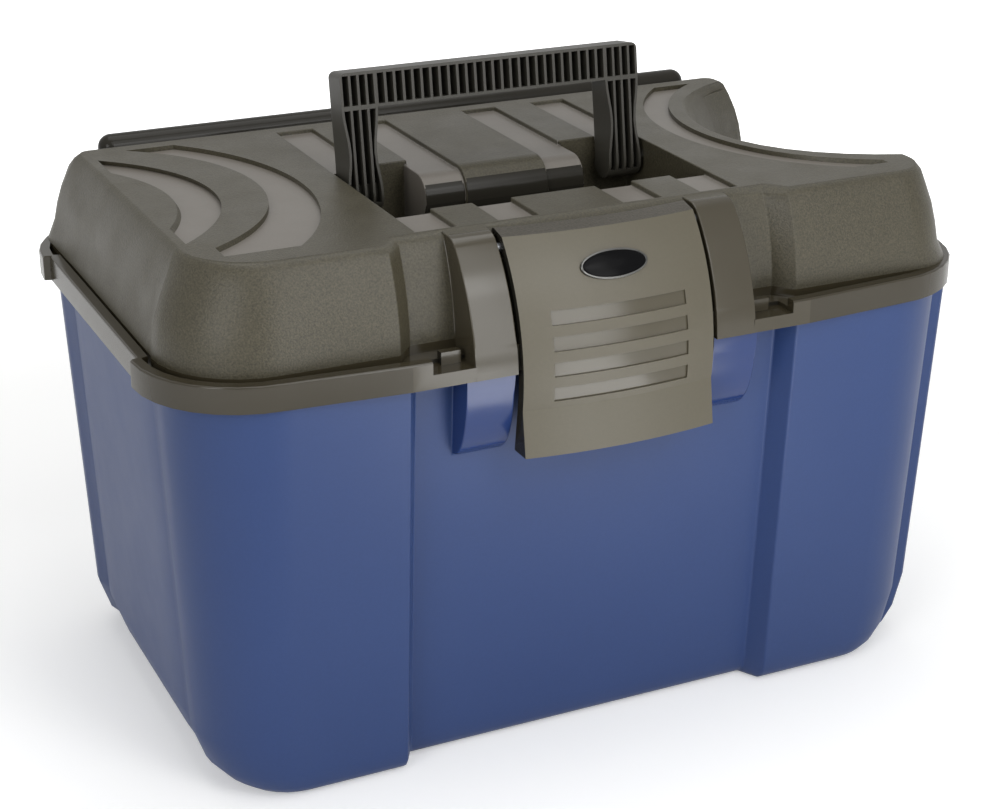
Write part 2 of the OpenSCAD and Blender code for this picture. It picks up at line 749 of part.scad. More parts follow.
// Flared lip at the flap's lower end
module latch_lip() {
    top = on_latch(latch_crease_a, 0);
    polygon([top, on_latch(latch_crease_a, latch_t), top + [latch_t - latch_lip_flare, -latch_lip_drop],
        top + [-latch_lip_flare, -latch_lip_drop]]);
}

// One side of the lip, which shows as the flap's depth at its lower end
module latch_lip_side() {
    top = on_latch(latch_crease_a, 0);
    polygon([top, on_latch(latch_crease_a, latch_side_d), top + [latch_lip_side_d - latch_lip_flare, -latch_lip_drop],
        top + [-latch_lip_flare, -latch_lip_drop]]);
}

// Hook inside the flap, clear of the tub's ledge by the side gap
module latch_hook() {
    z = latch_mid_z - hook_drop;
    catch_z = z + catch_rise;
    front = on_latch(latch_crease_a, 0);
    block([-hook_half, front[0] - latch_lip_flare / 2, z],
        [hook_half, -panel_y(catch_z) - catch_out - side_gap, z + hook_t]);
}

module oval(l, h) {
    polygon([for (i = [0 : badge_steps - 1]) let (a = 360 * i / badge_steps) [l / 2 * cos(a), h / 2 * sin(a)]]);
}

// Its children laid on the flap's face where the badge sits
module at_badge() {
    translate([0, latch_mid_y, latch_mid_z]) rotate([90 - badge_a, 0, 0])
        translate([0, 0, latch_r - badge_sink]) children();
}

module latch_flap() {
    half = latch_w / 2;
    color(lid_grey) difference() {
        union() {
            along_x(-half, half) {
                latch_band(0, latch_t, latch_crease_a, latch_top_a);
                latch_top();
                latch_lip();
            }
            both_sides() along_x(half - latch_side_t, half) {
                latch_band(0, latch_side_d, latch_crease_a, latch_top_a - strip_a);
                latch_lip_side();
            }
            bar_x(latch_axis, latch_knuckle_d, -half, half);
            latch_hook();
        }
        bar_x(latch_axis, latch_pin_d + 2 * pin_run, -half - overrun, half + overrun);
        for (i = [0 : strip_count - 1]) let (a = strip_top_a - i * (strip_a + strip_gap_a))
            along_x(-strip_half, strip_half) latch_band(-overrun, strip_d, a - strip_a, a);
        at_badge() linear_extrude(badge_t + overrun) oval(badge_l + 2 * badge_fit, badge_h + 2 * badge_fit);
    }
}

module latch_pin() {
    color(steel_grey) bar_x(latch_axis, latch_pin_d, -cheek_inner_x - pin_head, cheek_inner_x + pin_head);
}

module latch_badge() {
    color(badge_black) at_badge() linear_extrude(badge_t) oval(badge_l, badge_h);
}

// Outline of the handle in X and Z about its pivot
module handle_outline() {
    r = handle_corner_r;
    polygon(concat(
        [[-handle_half, 0]],
        arc([r - handle_half, handle_reach - r], r, 180, 90, arc_steps),
        arc([handle_half - r, handle_reach - r], r, 90, 0, arc_steps),
        [[handle_half, 0], [grip_inner_x, 0]],
        arc([grip_inner_x - r, handle_reach - grip_h - r], r, 0, 90, arc_steps),
        arc([r - grip_inner_x, handle_reach - grip_h - r], r, 90, 180, arc_steps),
        [[-grip_inner_x, 0]]));
}

// A slot of width w in the handle's open front, between two heights
module slot(x, w, z0, z1, depth) {
    block([x - w / 2, -handle_d / 2 - overrun, z0], [x + w / 2, depth - handle_d / 2, z1]);
}

module handle_slots() {
    grip_z = handle_reach - grip_h;
    deep = handle_d - slot_back_t;
    grip_w = grip_slot_pitch - grip_fin_t;
    leg_slot_w = leg_slot_pitch - leg_fin_t;
    for (i = [0 : grip_slots - 1])
        slot((i - (grip_slots - 1) / 2) * grip_slot_pitch, grip_w, grip_z + slot_wall,
            handle_reach - slot_wall, deep);
    both_sides() for (i = [0 : leg_slots - 1]) {
        x = (grip_inner_x + handle_half) / 2 + (i - (leg_slots - 1) / 2) * leg_slot_pitch;
        slot(x, leg_slot_w, leg_slot_low, leg_rib_z, leg_slot_low_d);
        slot(x, leg_slot_w, leg_slot_foot, leg_rib_z, deep);
        slot(x, leg_slot_w, leg_rib_z + leg_rib_t, handle_reach - slot_wall, deep);
    }
}

module handle() {
    color(handle_grey) translate([0, pivot_y, pivot_z]) rotate([-handle_lean, 0, 0]) difference() {
        union() {
            translate([0, handle_d / 2, 0]) rotate([90, 0, 0]) linear_extrude(handle_d) handle_outline();
            both_sides() bar_x([0, 0], handle_d, grip_inner_x, handle_half);
        }
        handle_slots();
        both_sides() bar_x([0, 0], 2 * handle_bore_r, handle_half - handle_pin_grip, handle_half + overrun);
    }
}

// Pin that carries the right leg, fixed in the well's end wall
module handle_pin() {
    color(steel_grey) bar_x([pivot_y, pivot_z], handle_pin_d,
        handle_half - handle_pin_grip + side_gap, well_half_x + well_wall);
}

module handle_pin_right() { handle_pin(); }

module handle_pin_left() { mirror([1, 0, 0]) handle_pin(); }

// Pin of the right hinge, fixed in the tub's knuckles
module hinge_pin() {
    color(steel_grey) bar_x([hinge_y, hinge_z], hinge_pin_d, hinge_x - hinge_pin_half, hinge_x + hinge_pin_half);
}

module hinge_pin_right() { hinge_pin(); }

module hinge_pin_left() { mirror([1, 0, 0]) hinge_pin(); }

module tray_shell() {
    lean = tan(tray_draft) * tray_d;
    skin([
        at_z(tray_outline(tray_wall + lean + tray_foot_r * corner_share), tray_bottom + tray_wall),
        at_z(tray_outline(tray_wall + lean), tray_bottom + tray_wall + tray_foot_r * corner_share),
        at_z(tray_outline(tray_wall + tray_flange), tray_top),
        at_z(tray_outline(0), tray_top),
        at_z(tray_outline(0), tray_top - tray_flange_t),
        at_z(tray_outline(tray_flange), tray_top - tray_flange_t),
        at_z(tray_outline(lean), tray_bottom + tray_foot_r * corner_share),
        at_z(tray_outline(lean + tray_foot_r * corner_share), tray_bottom)]);
}

// Grip wall along the middle, with a hand slot, and a divider across the front half
module tray_walls() {
    end = tray_l / 2 - tray_flange - tray_wall;
    side = tray_w / 2 - tray_flange - tray_wall;
    slot_z = tray_top - tray_flange_t - tray_grip_slot_h / 2 - tray_foot_r;
    difference() {
        block([-end, -tray_grip_t / 2, tray_bottom + tray_wall / 2], [end, tray_grip_t / 2, tray_top - tray_flange_t]);
        block([-tray_grip_half, -tray_grip_t, slot_z - tray_grip_slot_h / 2],
            [tray_grip_half, tray_grip_t, slot_z + tray_grip_slot_h / 2]);
        both_sides() translate([tray_grip_half, tray_grip_t, slot_z]) rotate([90, 0, 0])
            cylinder(d = tray_grip_slot_h, h = 2 * tray_grip_t);
    }
    block([-tray_divider_t / 2, -side, tray_bottom + tray_wall / 2],
        [tray_divider_t / 2, -tray_grip_t / 4, tray_bottom + tray_d * tray_divider_share]);
}

module lift_out_tray() {
    color(tray_grey) {
        tray_shell();
        tray_walls();
    }
}

tub();
lid();
latch_flap();
latch_pin();
latch_badge();
handle();
handle_pin_left();
handle_pin_right();
hinge_pin_left();
hinge_pin_right();
lift_out_tray();
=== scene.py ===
"""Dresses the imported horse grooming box: a blue tub, a taupe domed lid, its latch, handle and tray.

Lengths in the code are millimetres unless a name says otherwise; Blender's are metres.
+X runs right along the front, -Y faces the front, +Z is up and z = 0 is the floor.
"""

import logging
import math
from contextlib import contextmanager
from dataclasses import dataclass, field
from enum import Enum
from typing import Any, Callable, Iterator

import bmesh
import bpy
from bmesh.types import BMEdge
from bpy.types import Material, Node, NodeSocket, NodeTree, Object
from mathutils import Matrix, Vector


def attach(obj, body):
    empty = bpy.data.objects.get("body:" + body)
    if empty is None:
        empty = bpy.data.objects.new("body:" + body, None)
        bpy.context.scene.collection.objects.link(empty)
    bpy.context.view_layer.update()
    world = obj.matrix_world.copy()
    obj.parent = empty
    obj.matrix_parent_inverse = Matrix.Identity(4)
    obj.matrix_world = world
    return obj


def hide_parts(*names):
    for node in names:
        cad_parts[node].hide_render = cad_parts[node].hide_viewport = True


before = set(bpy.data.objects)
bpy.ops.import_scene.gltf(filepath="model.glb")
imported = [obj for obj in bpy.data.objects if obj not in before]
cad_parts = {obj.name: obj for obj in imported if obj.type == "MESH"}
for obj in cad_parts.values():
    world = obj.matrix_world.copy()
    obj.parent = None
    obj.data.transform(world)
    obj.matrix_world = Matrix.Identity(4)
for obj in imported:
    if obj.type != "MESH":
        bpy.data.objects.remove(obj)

LOG = logging.getLogger("grooming_box")
MM = 0.001
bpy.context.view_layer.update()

# Places are taken as one within these millimetres, in tests, merges and cuts, or within these degrees.
NEAR = 0.1
MERGED = 0.002
SEAM_GAP = 0.01
CUT_GAP = 0.0005
NEAR_ANGLE = 0.2
# Edges that turn by more degrees than these stay sharp: on copied mouldings, and on pieces made here.
COPIED_ANGLE = 48.0
MADE_ANGLE = 40.0
# Faces that turn by fewer degrees than this are one flat face.
FLAT_ANGLE = 0.4
# Segments across a rounded or bevelled edge.
EDGE_STEPS = 2
# A face whose normal has these shares of a direction faces that way squarely, partly or just so.
FACING = 0.9
TILTED = 0.5
LEANING = 0.3
# A noise texture hardly leaves this range.
NOISE_RANGE = (0.3, 0.7)
PLASTIC_IOR = 1.49
WHITE = "#ffffff"

Pair = tuple[float, float]
Point = tuple[float, float, float]
PlaceTest = Callable[[Vector, Vector], bool]
EdgeTest = Callable[[BMEdge, Vector], bool]


@dataclass(frozen=True)
class Texture:
    """Numbers of one mould finish.

    Attributes:
        pitch: Distance between two bumps.
        depth: Height of a bump.
        roughness: Middle roughness of the surface.
        spread: How far the roughness wanders about its middle.
        fleck: Share by which the colour wanders with the bumps.
    """

    pitch: float
    depth: float
    roughness: float
    spread: float
    fleck: float


class Grain(Enum):
    """How the mould's steel was finished, which the plastic copies."""

    POLISHED = Texture(pitch=3.0, depth=0.004, roughness=0.18, spread=0.03, fleck=0.0)
    SATIN = Texture(pitch=1.4, depth=0.012, roughness=0.42, spread=0.02, fleck=0.03)
    # A spark-eroded grain is really about 0.4 mm wide. It is drawn twice as wide, so that it shows.
    ERODED = Texture(pitch=0.85, depth=0.16, roughness=0.4, spread=0.05, fleck=0.34)


def linear(colour: str) -> tuple[float, float, float, float]:
    """Turns an sRGB hex colour into linear light.

    Args:
        colour: Six hex digits after a hash sign.

    Returns:
        Red, green, blue and an alpha of 1.
    """
    parts = [int(colour[i:i + 2], 16) / 255 for i in (1, 3, 5)]
    red, green, blue = [c / 12.92 if c <= 0.04045 else ((c + 0.055) / 1.055) ** 2.4 for c in parts]
    return red, green, blue, 1.0


def add_node(tree: NodeTree, kind: str, settings: dict[str, Any] | None = None,
             links: dict[str, NodeSocket] | None = None) -> Node:
    """Adds a node to a tree, with its settings and links.

    Args:
        tree: Tree that gets the node.
        kind: Blender's name of the node type, without ShaderNode.
        settings: Property or input name to value; an input may be named by its number.
        links: Input name or number to the socket that feeds it.

    Returns:
        The new node.
    """
    node = tree.nodes.new("ShaderNode" + kind)
    for key, value in (settings or {}).items():
        if key.isdigit():
            node.inputs[int(key)].default_value = value
        elif hasattr(node, key):
            setattr(node, key, value)
        else:
            node.inputs[key].default_value = value
    for key, socket in (links or {}).items():
        tree.links.new(socket, node.inputs[int(key) if key.isdigit() else key])
    return node


def noise(tree: NodeTree, place: NodeSocket, width: float, **settings: float) -> NodeSocket:
    """Adds a noise texture with features of a width, in millimetres, and returns its value's socket."""
    inputs = {"Scale": 1 / (width * MM), **settings}
    return add_node(tree, "TexNoise", inputs, {"Vector": place}).outputs["Fac"]


def ranged(tree: NodeTree, value: NodeSocket, middle: float, spread: float) -> NodeSocket:
    """Adds a node that makes a noise wander about a middle by a spread, and returns its socket."""
    limits = {"From Min": NOISE_RANGE[0], "From Max": NOISE_RANGE[1],
              "To Min": middle - spread, "To Max": middle + spread}
    return add_node(tree, "MapRange", limits, {"Value": value}).outputs["Result"]


def blank_material(name: str) -> Material:
    """Makes a material with an empty node tree, named for what it is made of.

    Args:
        name: Its name.

    Returns:
        The material.
    """
    material = bpy.data.materials.new(name)
    material.use_nodes = True
    material.node_tree.nodes.clear()
    return material


@dataclass(frozen=True)
class Finish:
    """The surface of a piece, with its place taken from the object's own coordinates.

    Attributes:
        name: Name of the material.
        colour: Main colour.
    """

    name: str
    colour: str

    def material(self) -> Material:
        """Makes the material and connects the shader of the finish.

        Returns:
            The material.
        """
        material = blank_material(self.name)
        tree = material.node_tree
        shader = self.shader(tree, add_node(tree, "TexCoord").outputs["Object"])
        add_node(tree, "OutputMaterial", links={"Surface": shader.outputs["BSDF"]})
        return material

    def shader(self, tree: NodeTree, place: NodeSocket) -> Node:
        """Adds the nodes of the finish to a tree, with places from a socket, and returns the last."""
        raise NotImplementedError


@dataclass(frozen=True)
class MouldedPlastic(Finish):
    """Injection-moulded polypropylene, dyed through, with the grain of its mould.

    Attributes:
        swirl: Colour of its paler swirls, where the dye is thinner.
        grain: Finish of the mould.
        specular: Strength of the reflection at a right angle.
        swirl_width: Width of the swirls, which is some centimetres.
        wear_width: Width of the patches of uneven gloss, which follow the mould's wear.
    """

    swirl: str
    grain: Grain
    specular: float = 0.5
    swirl_width: float = 60.0
    wear_width: float = 22.0

    def shader(self, tree: NodeTree, place: NodeSocket) -> Node:
        """Adds the nodes of the plastic.

        Args:
            tree: Tree that gets them.
            place: Socket with the place on the surface.

        Returns:
            The shader node.
        """
        texture = self.grain.value
        swirls = noise(tree, place, self.swirl_width, Detail=3.0)
        dyes = {"data_type": "RGBA", "6": linear(self.colour), "7": linear(self.swirl)}
        tint = add_node(tree, "Mix", dyes, {"0": swirls})
        worn = noise(tree, place, self.wear_width, Detail=5.0)
        rough = ranged(tree, worn, texture.roughness, texture.spread)
        bumps = noise(tree, place, texture.pitch, Detail=2.0, Roughness=0.6)
        flecks = ranged(tree, bumps, 1, texture.fleck)
        flecked = add_node(tree, "VectorMath", {"operation": "SCALE"},
                           {"0": tint.outputs[2], "Scale": flecks})
        relief = add_node(tree, "Bump", {"Strength": 1.0, "Distance": texture.depth * MM},
                          {"Height": bumps})
        return add_node(tree, "BsdfPrincipled",
                        {"IOR": PLASTIC_IOR, "Specular IOR Level": self.specular},
                        {"Base Color": flecked.outputs["Vector"], "Roughness": rough,
                         "Normal": relief.outputs["Normal"]})


@dataclass(frozen=True)
class DrawnSteel(Finish):
    """Drawn steel wire: bright, with fine lines along its length.

    Attributes:
        line_width: Distance between two drawn lines.
        stretch: Share of the lines' detail that is left along the wire.
        roughness: Lowest and highest roughness of the lines.
    """

    line_width: float = 0.6
    stretch: float = 0.05
    roughness: Pair = (0.22, 0.42)

    def shader(self, tree: NodeTree, place: NodeSocket) -> Node:
        """Adds the nodes of the steel.

        Args:
            tree: Tree that gets them.
            place: Socket with the place on the surface.

        Returns:
            The shader node.
        """
        drawn = add_node(tree, "Mapping", {"Scale": (self.stretch, 1.0, 1.0)}, {"Vector": place})
        lines = noise(tree, drawn.outputs["Vector"], self.line_width, Detail=3.0)
        rough = add_node(tree, "MapRange",
                         {"To Min": self.roughness[0], "To Max": self.roughness[1]}, {"Value": lines})
        metal = {"Base Color": linear(self.colour), "Metallic": 1.0}
        return add_node(tree, "BsdfPrincipled", metal, {"Roughness": rough.outputs["Result"]})


# Polypropylene from a satin mould: an even blue with a broad, soft sheen and no clear reflection.
TUB_BLUE = MouldedPlastic("blue_polypropylene_satin", "#273b68", "#2b3f6c", Grain.SATIN, 0.35)
# The same plastic from a polished mould: a deeper blue with clear reflections, on the fins beside the latch.
TUB_BLUE_GLOSS = MouldedPlastic("blue_polypropylene_polished", "#1f3364", "#233768", Grain.POLISHED)
# Polypropylene from a spark-eroded mould: a sandy grain that breaks up the light and looks dry.
LID_GRAINED = MouldedPlastic("taupe_polypropylene_grained", "#3f3b2e", "#444033", Grain.ERODED, 0.38)
# Polished polypropylene: dark, with clear and bright reflections down the curved cheeks. On the rim's front
# beside the pockets it is a painted reflection, paler than the rim.
LID_GLOSS = MouldedPlastic("taupe_polypropylene_polished", "#3d382c", "#413c30", Grain.POLISHED, 0.45)
# Satin floors of the stripes and crescents: smoother and paler than the grain round them.
STRIPE_SATIN = MouldedPlastic("taupe_polypropylene_stripes", "#6a655e", "#6e6962", Grain.SATIN)
# Polished rim: a dark band with a narrow highlight along its edges.
RIM_GLOSS = MouldedPlastic("taupe_polypropylene_rim", "#322d21", "#363125", Grain.POLISHED, 0.45)
# Painted shade: the polished taupe made almost black, with a weak reflection, on the rear rail, the rim
# pockets, the tongue's steep front and the latch's sides, where little light reaches.
PAINTED_SHADE_GLOSS = MouldedPlastic("taupe_polypropylene_painted_shade", "#272520", "#2b2924", Grain.POLISHED, 0.14)
# Satin latch: a warm, even grey with a broad highlight across its curve.
LATCH_SATIN = MouldedPlastic("taupe_polypropylene_satin", "#504b3d", "#544f41", Grain.SATIN)
# Grained band on top of the latch: dull, and painted darker than the latch as shade.
LATCH_GRAINED_PAINTED_SHADE = MouldedPlastic("taupe_polypropylene_latch_top_painted_shade", "#3f3b33", "#433f37", Grain.ERODED, 0.3)
# Polished strips across the latch: they flash against the satin round them.
LATCH_GLOSS = MouldedPlastic("taupe_polypropylene_strips", "#4a4538", "#4e493c", Grain.POLISHED)
# Dark satin handle: a soft sheen on its back and almost black in its slots.
HANDLE_SATIN = MouldedPlastic("dark_taupe_polypropylene", "#37352f", "#3b3933", Grain.SATIN, 0.4)
# Plain satin tray: a paler grey with little gloss.
TRAY_SATIN = MouldedPlastic("grey_polypropylene_satin", "#6f6b63", "#75716a", Grain.SATIN)
# Drawn steel wire: bright, with fine lines along it.
PIN_STEEL = DrawnSteel("drawn_steel", "#85878a")
# Black lacquer: deep black with a faint sheen over the badge's dome.
BADGE_BLACK = MouldedPlastic("black_lacquer", "#0c0c0d", "#0f0f10", Grain.POLISHED, 0.05)
# Silvered edge: a thin line of grey metal round the badge.
BADGE_SILVER = DrawnSteel("silvered_edge", "#5f5f5d")


def pick(obj: Object) -> None:
    """Deselects everything and makes one object active.

    Args:
        obj: That object.
    """
    bpy.ops.object.select_all(action="DESELECT")
    obj.select_set(True)
    bpy.context.view_layer.objects.active = obj


class Part(Enum):
    """A kind of mesh part that can be selected, by Blender's name of it."""

    POINT = "VERT"
    EDGE = "EDGE"
    FACE = "FACE"

    def listed(self, mesh: bmesh.types.BMesh) -> list[tuple[Any, tuple]]:
        """Lists a mesh's parts of this kind.

        Args:
            mesh: The mesh.

        Returns:
            Each part with what a test takes: a point's place, an edge and its middle, or a face's middle
            and normal. Places are in millimetres.
        """
        if self is Part.POINT:
            return [(point, (point.co / MM,)) for point in mesh.verts]
        if self is Part.EDGE:
            return [(edge, (edge, (edge.verts[0].co + edge.verts[1].co) / (2 * MM))) for edge in mesh.edges]
        return [(face, (face.calc_center_median() / MM, face.normal)) for face in mesh.faces]


@contextmanager
def edit_mode(obj: Object, kind: Part, test: Callable[..., bool] | None = None) -> Iterator[None]:
    """Opens an object in edit mode with some of it selected, and closes it again.

    Args:
        obj: Mesh object to edit.
        kind: Kind of part that is selected.
        test: Says whether a part is selected; without it, all are.

    Yields:
        Nothing; the object is in edit mode inside the block.
    """
    pick(obj)
    bpy.ops.object.mode_set(mode="EDIT")
    bpy.ops.mesh.select_mode(type=kind.value)
    bpy.ops.mesh.select_all(action="DESELECT" if test else "SELECT")
    if test:
        mesh = bmesh.from_edit_mesh(obj.data)
        mesh.normal_update()
        for part, seen in kind.listed(mesh):
            part.select_set(test(*seen))
        mesh.select_flush_mode()
        bmesh.update_edit_mesh(obj.data)
    yield
    bpy.ops.object.mode_set(mode="OBJECT")


def cut(place: Point, normal: Point, drop: str = "", whole: bool = True) -> None:
    """Cuts the mesh in edit mode along a plane.

    Args:
        place: Point on the plane, in millimetres.
        normal: Normal of the plane.
        drop: "outer" or "inner" drops the half before or behind the plane.
        whole: Cuts the whole mesh, and not only what is selected.
    """
    if whole:
        bpy.ops.mesh.select_all(action="SELECT")
    bpy.ops.mesh.bisect(plane_co=Vector(place) * MM, plane_no=normal, clear_outer=drop == "outer",
                        clear_inner=drop == "inner", threshold=CUT_GAP * MM)


def extrude(step: Point) -> None:
    """Extrudes what is selected in edit mode by a step in millimetres."""
    bpy.ops.mesh.extrude_region_move(TRANSFORM_OT_translate={"value": Vector(step) * MM})


def move_points(obj: Object, place: Callable[[Vector], Vector]) -> None:
    """Moves every point of a mesh, in object mode.

    Args:
        obj: Mesh object.
        place: Takes a point's place in millimetres and gives its new place.
    """
    for point in obj.data.vertices:
        point.co = place(point.co / MM) * MM
    obj.data.update()


def close_up(obj: Object) -> None:
    """Merges a mesh's doubled points and turns its faces outwards.

    Args:
        obj: Mesh object.
    """
    with edit_mode(obj, Part.POINT):
        bpy.ops.mesh.remove_doubles(threshold=SEAM_GAP * MM)
        bpy.ops.mesh.normals_make_consistent(inside=False)


def dress(obj: Object, base: Finish, *over: tuple[Finish, PlaceTest]) -> None:
    """Gives an object a finish, and other finishes to some of its faces.

    Args:
        obj: Mesh object.
        base: Finish of the whole object.
        over: The other finishes, in order, each with a test of a face's middle, in millimetres, and normal.
    """
    obj.data.materials.append(base.material())
    for slot, (finish, test) in enumerate(over, 1):
        obj.data.materials.append(finish.material())
        for face in obj.data.polygons:
            if test(face.center / MM, face.normal):
                face.material_index = slot


def apply_modifier(obj: Object, kind: str, settings: dict[str, Any]) -> None:
    """Adds a modifier to an object and applies it.

    Args:
        obj: Object that gets it.
        kind: Blender's name of the modifier type.
        settings: Property name to value.
    """
    pick(obj)
    bpy.ops.object.modifier_add(type=kind)
    modifier = obj.modifiers[-1]
    for key, value in settings.items():
        setattr(modifier, key, value)
    bpy.ops.object.modifier_apply(modifier=modifier.name)


def bevel_edges(obj: Object, width: float, angle: float) -> None:
    """Bevels the edges of an object that turn by more than an angle in degrees."""
    apply_modifier(obj, "BEVEL", {"width": width * MM, "segments": EDGE_STEPS, "limit_method": "ANGLE",
                                  "angle_limit": math.radians(angle), "use_clamp_overlap": True})


def apply_place(obj: Object) -> None:
    """Puts an object's place, turn and scale into its mesh."""
    pick(obj)
    bpy.ops.object.transform_apply(location=True, rotation=True, scale=True)


def smooth(obj: Object, angle: float) -> None:
    """Shades a mesh smooth, but for edges sharper than an angle in degrees, and evens its flat faces.

    Args:
        obj: Mesh object.
        angle: The angle.
    """
    pick(obj)
    bpy.ops.object.shade_smooth_by_angle(angle=math.radians(angle), keep_sharp_edges=True)
    apply_modifier(obj, "WEIGHTED_NORMAL", {"keep_sharp": True, "weight": 50})


def moulding(node: str, name: str, radius: float, rounded: EdgeTest) -> Object:
    """Copies a CAD node as a moulding with rounded edges and smooth faces.

    Args:
        node: CAD node that the moulding stands for.
        name: Name of the new piece.
        radius: Radius of its rounded edges.
        rounded: Says whether a sharp edge, with its middle in millimetres, is rounded.

    Returns:
        The new piece, in place.
    """
    obj = bpy.data.objects.new(name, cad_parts[node].data.copy())
    bpy.context.scene.collection.objects.link(obj)
    obj.data.materials.clear()
    pick(obj)
    bpy.ops.mesh.customdata_custom_splitnormals_clear()
    with edit_mode(obj, Part.POINT):
        bpy.ops.mesh.remove_doubles(threshold=MERGED * MM)
        bpy.ops.mesh.dissolve_limited(angle_limit=math.radians(FLAT_ANGLE))
    with edit_mode(obj, Part.EDGE, lambda edge, middle: is_sharp(edge) and rounded(edge, middle)):
        bpy.ops.mesh.bevel(offset=radius * MM, segments=EDGE_STEPS, affect="EDGES", clamp_overlap=False)
    smooth(obj, COPIED_ANGLE)
    return obj


def is_sharp(edge: BMEdge, angle: float = 33.0) -> bool:
    """Says whether two faces meet at an edge at more than an angle in degrees."""
    return len(edge.link_faces) == 2 and edge.calc_face_angle() > math.radians(angle)


def seat(obj: Object, body: str, node: str) -> None:
    """Puts a finished piece on its body and the CAD node that it stands for.

    Args:
        obj: Finished piece.
        body: CAD body that carries it.
        node: CAD node that it replaces.
    """
    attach(obj, body)
    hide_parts(node)
    LOG.info("%s rides on %s: %d faces", obj.name, body, len(obj.data.polygons))


@dataclass
class Tub:
    """The blue tub: satin walls, and two polished fins that frame the latch."""

    # Radius of the rounded edges, the shortest edge that is rounded, and the height of the highest.
    edge: float = 0.8
    shortest: float = 0.9
    mouth: float = 190.0
    # The floor, the height of the narrower foot, and half the length and depth inside, in the foot and above.
    floor: float = 3.0
    foot: float = 40.0
    foot_inside: Pair = (160.0, 92.0)
    inside: Pair = (178.0, 100.0)
    # The fins: their sides, the Y that they stand before, and their foot.
    fin_x: Pair = (48.0, 71.5)
    fin_back: float = -112.0
    fin_foot: float = 148.0

    def build(self) -> None:
        """Makes the tub's moulding and gives its faces their finishes."""
        obj = moulding("tub", "tub_moulding", self.edge, self.is_rounded)
        dress(obj, TUB_BLUE, (TUB_BLUE_GLOSS, self.on_fin))
        seat(obj, "tub_body", "tub")

    def is_rounded(self, edge: BMEdge, middle: Vector) -> bool:
        """Says whether a sharp edge is outside on the tub, below its mouth, and long enough to be rounded.

        Args:
            edge: The edge.
            middle: Its middle.

        Returns:
            Whether it is.
        """
        half_length, half_depth = self.foot_inside if middle.z < self.foot else self.inside
        inside = abs(middle.x) < half_length and abs(middle.y) < half_depth and middle.z > self.floor
        return not inside and middle.z < self.mouth and edge.calc_length() > self.shortest * MM

    def on_fin(self, middle: Vector, normal: Vector) -> bool:
        """Says whether a face belongs to one of the fins beside the latch."""
        beside = self.fin_x[0] < abs(middle.x) < self.fin_x[1]
        return beside and middle.y < self.fin_back and middle.z > self.fin_foot


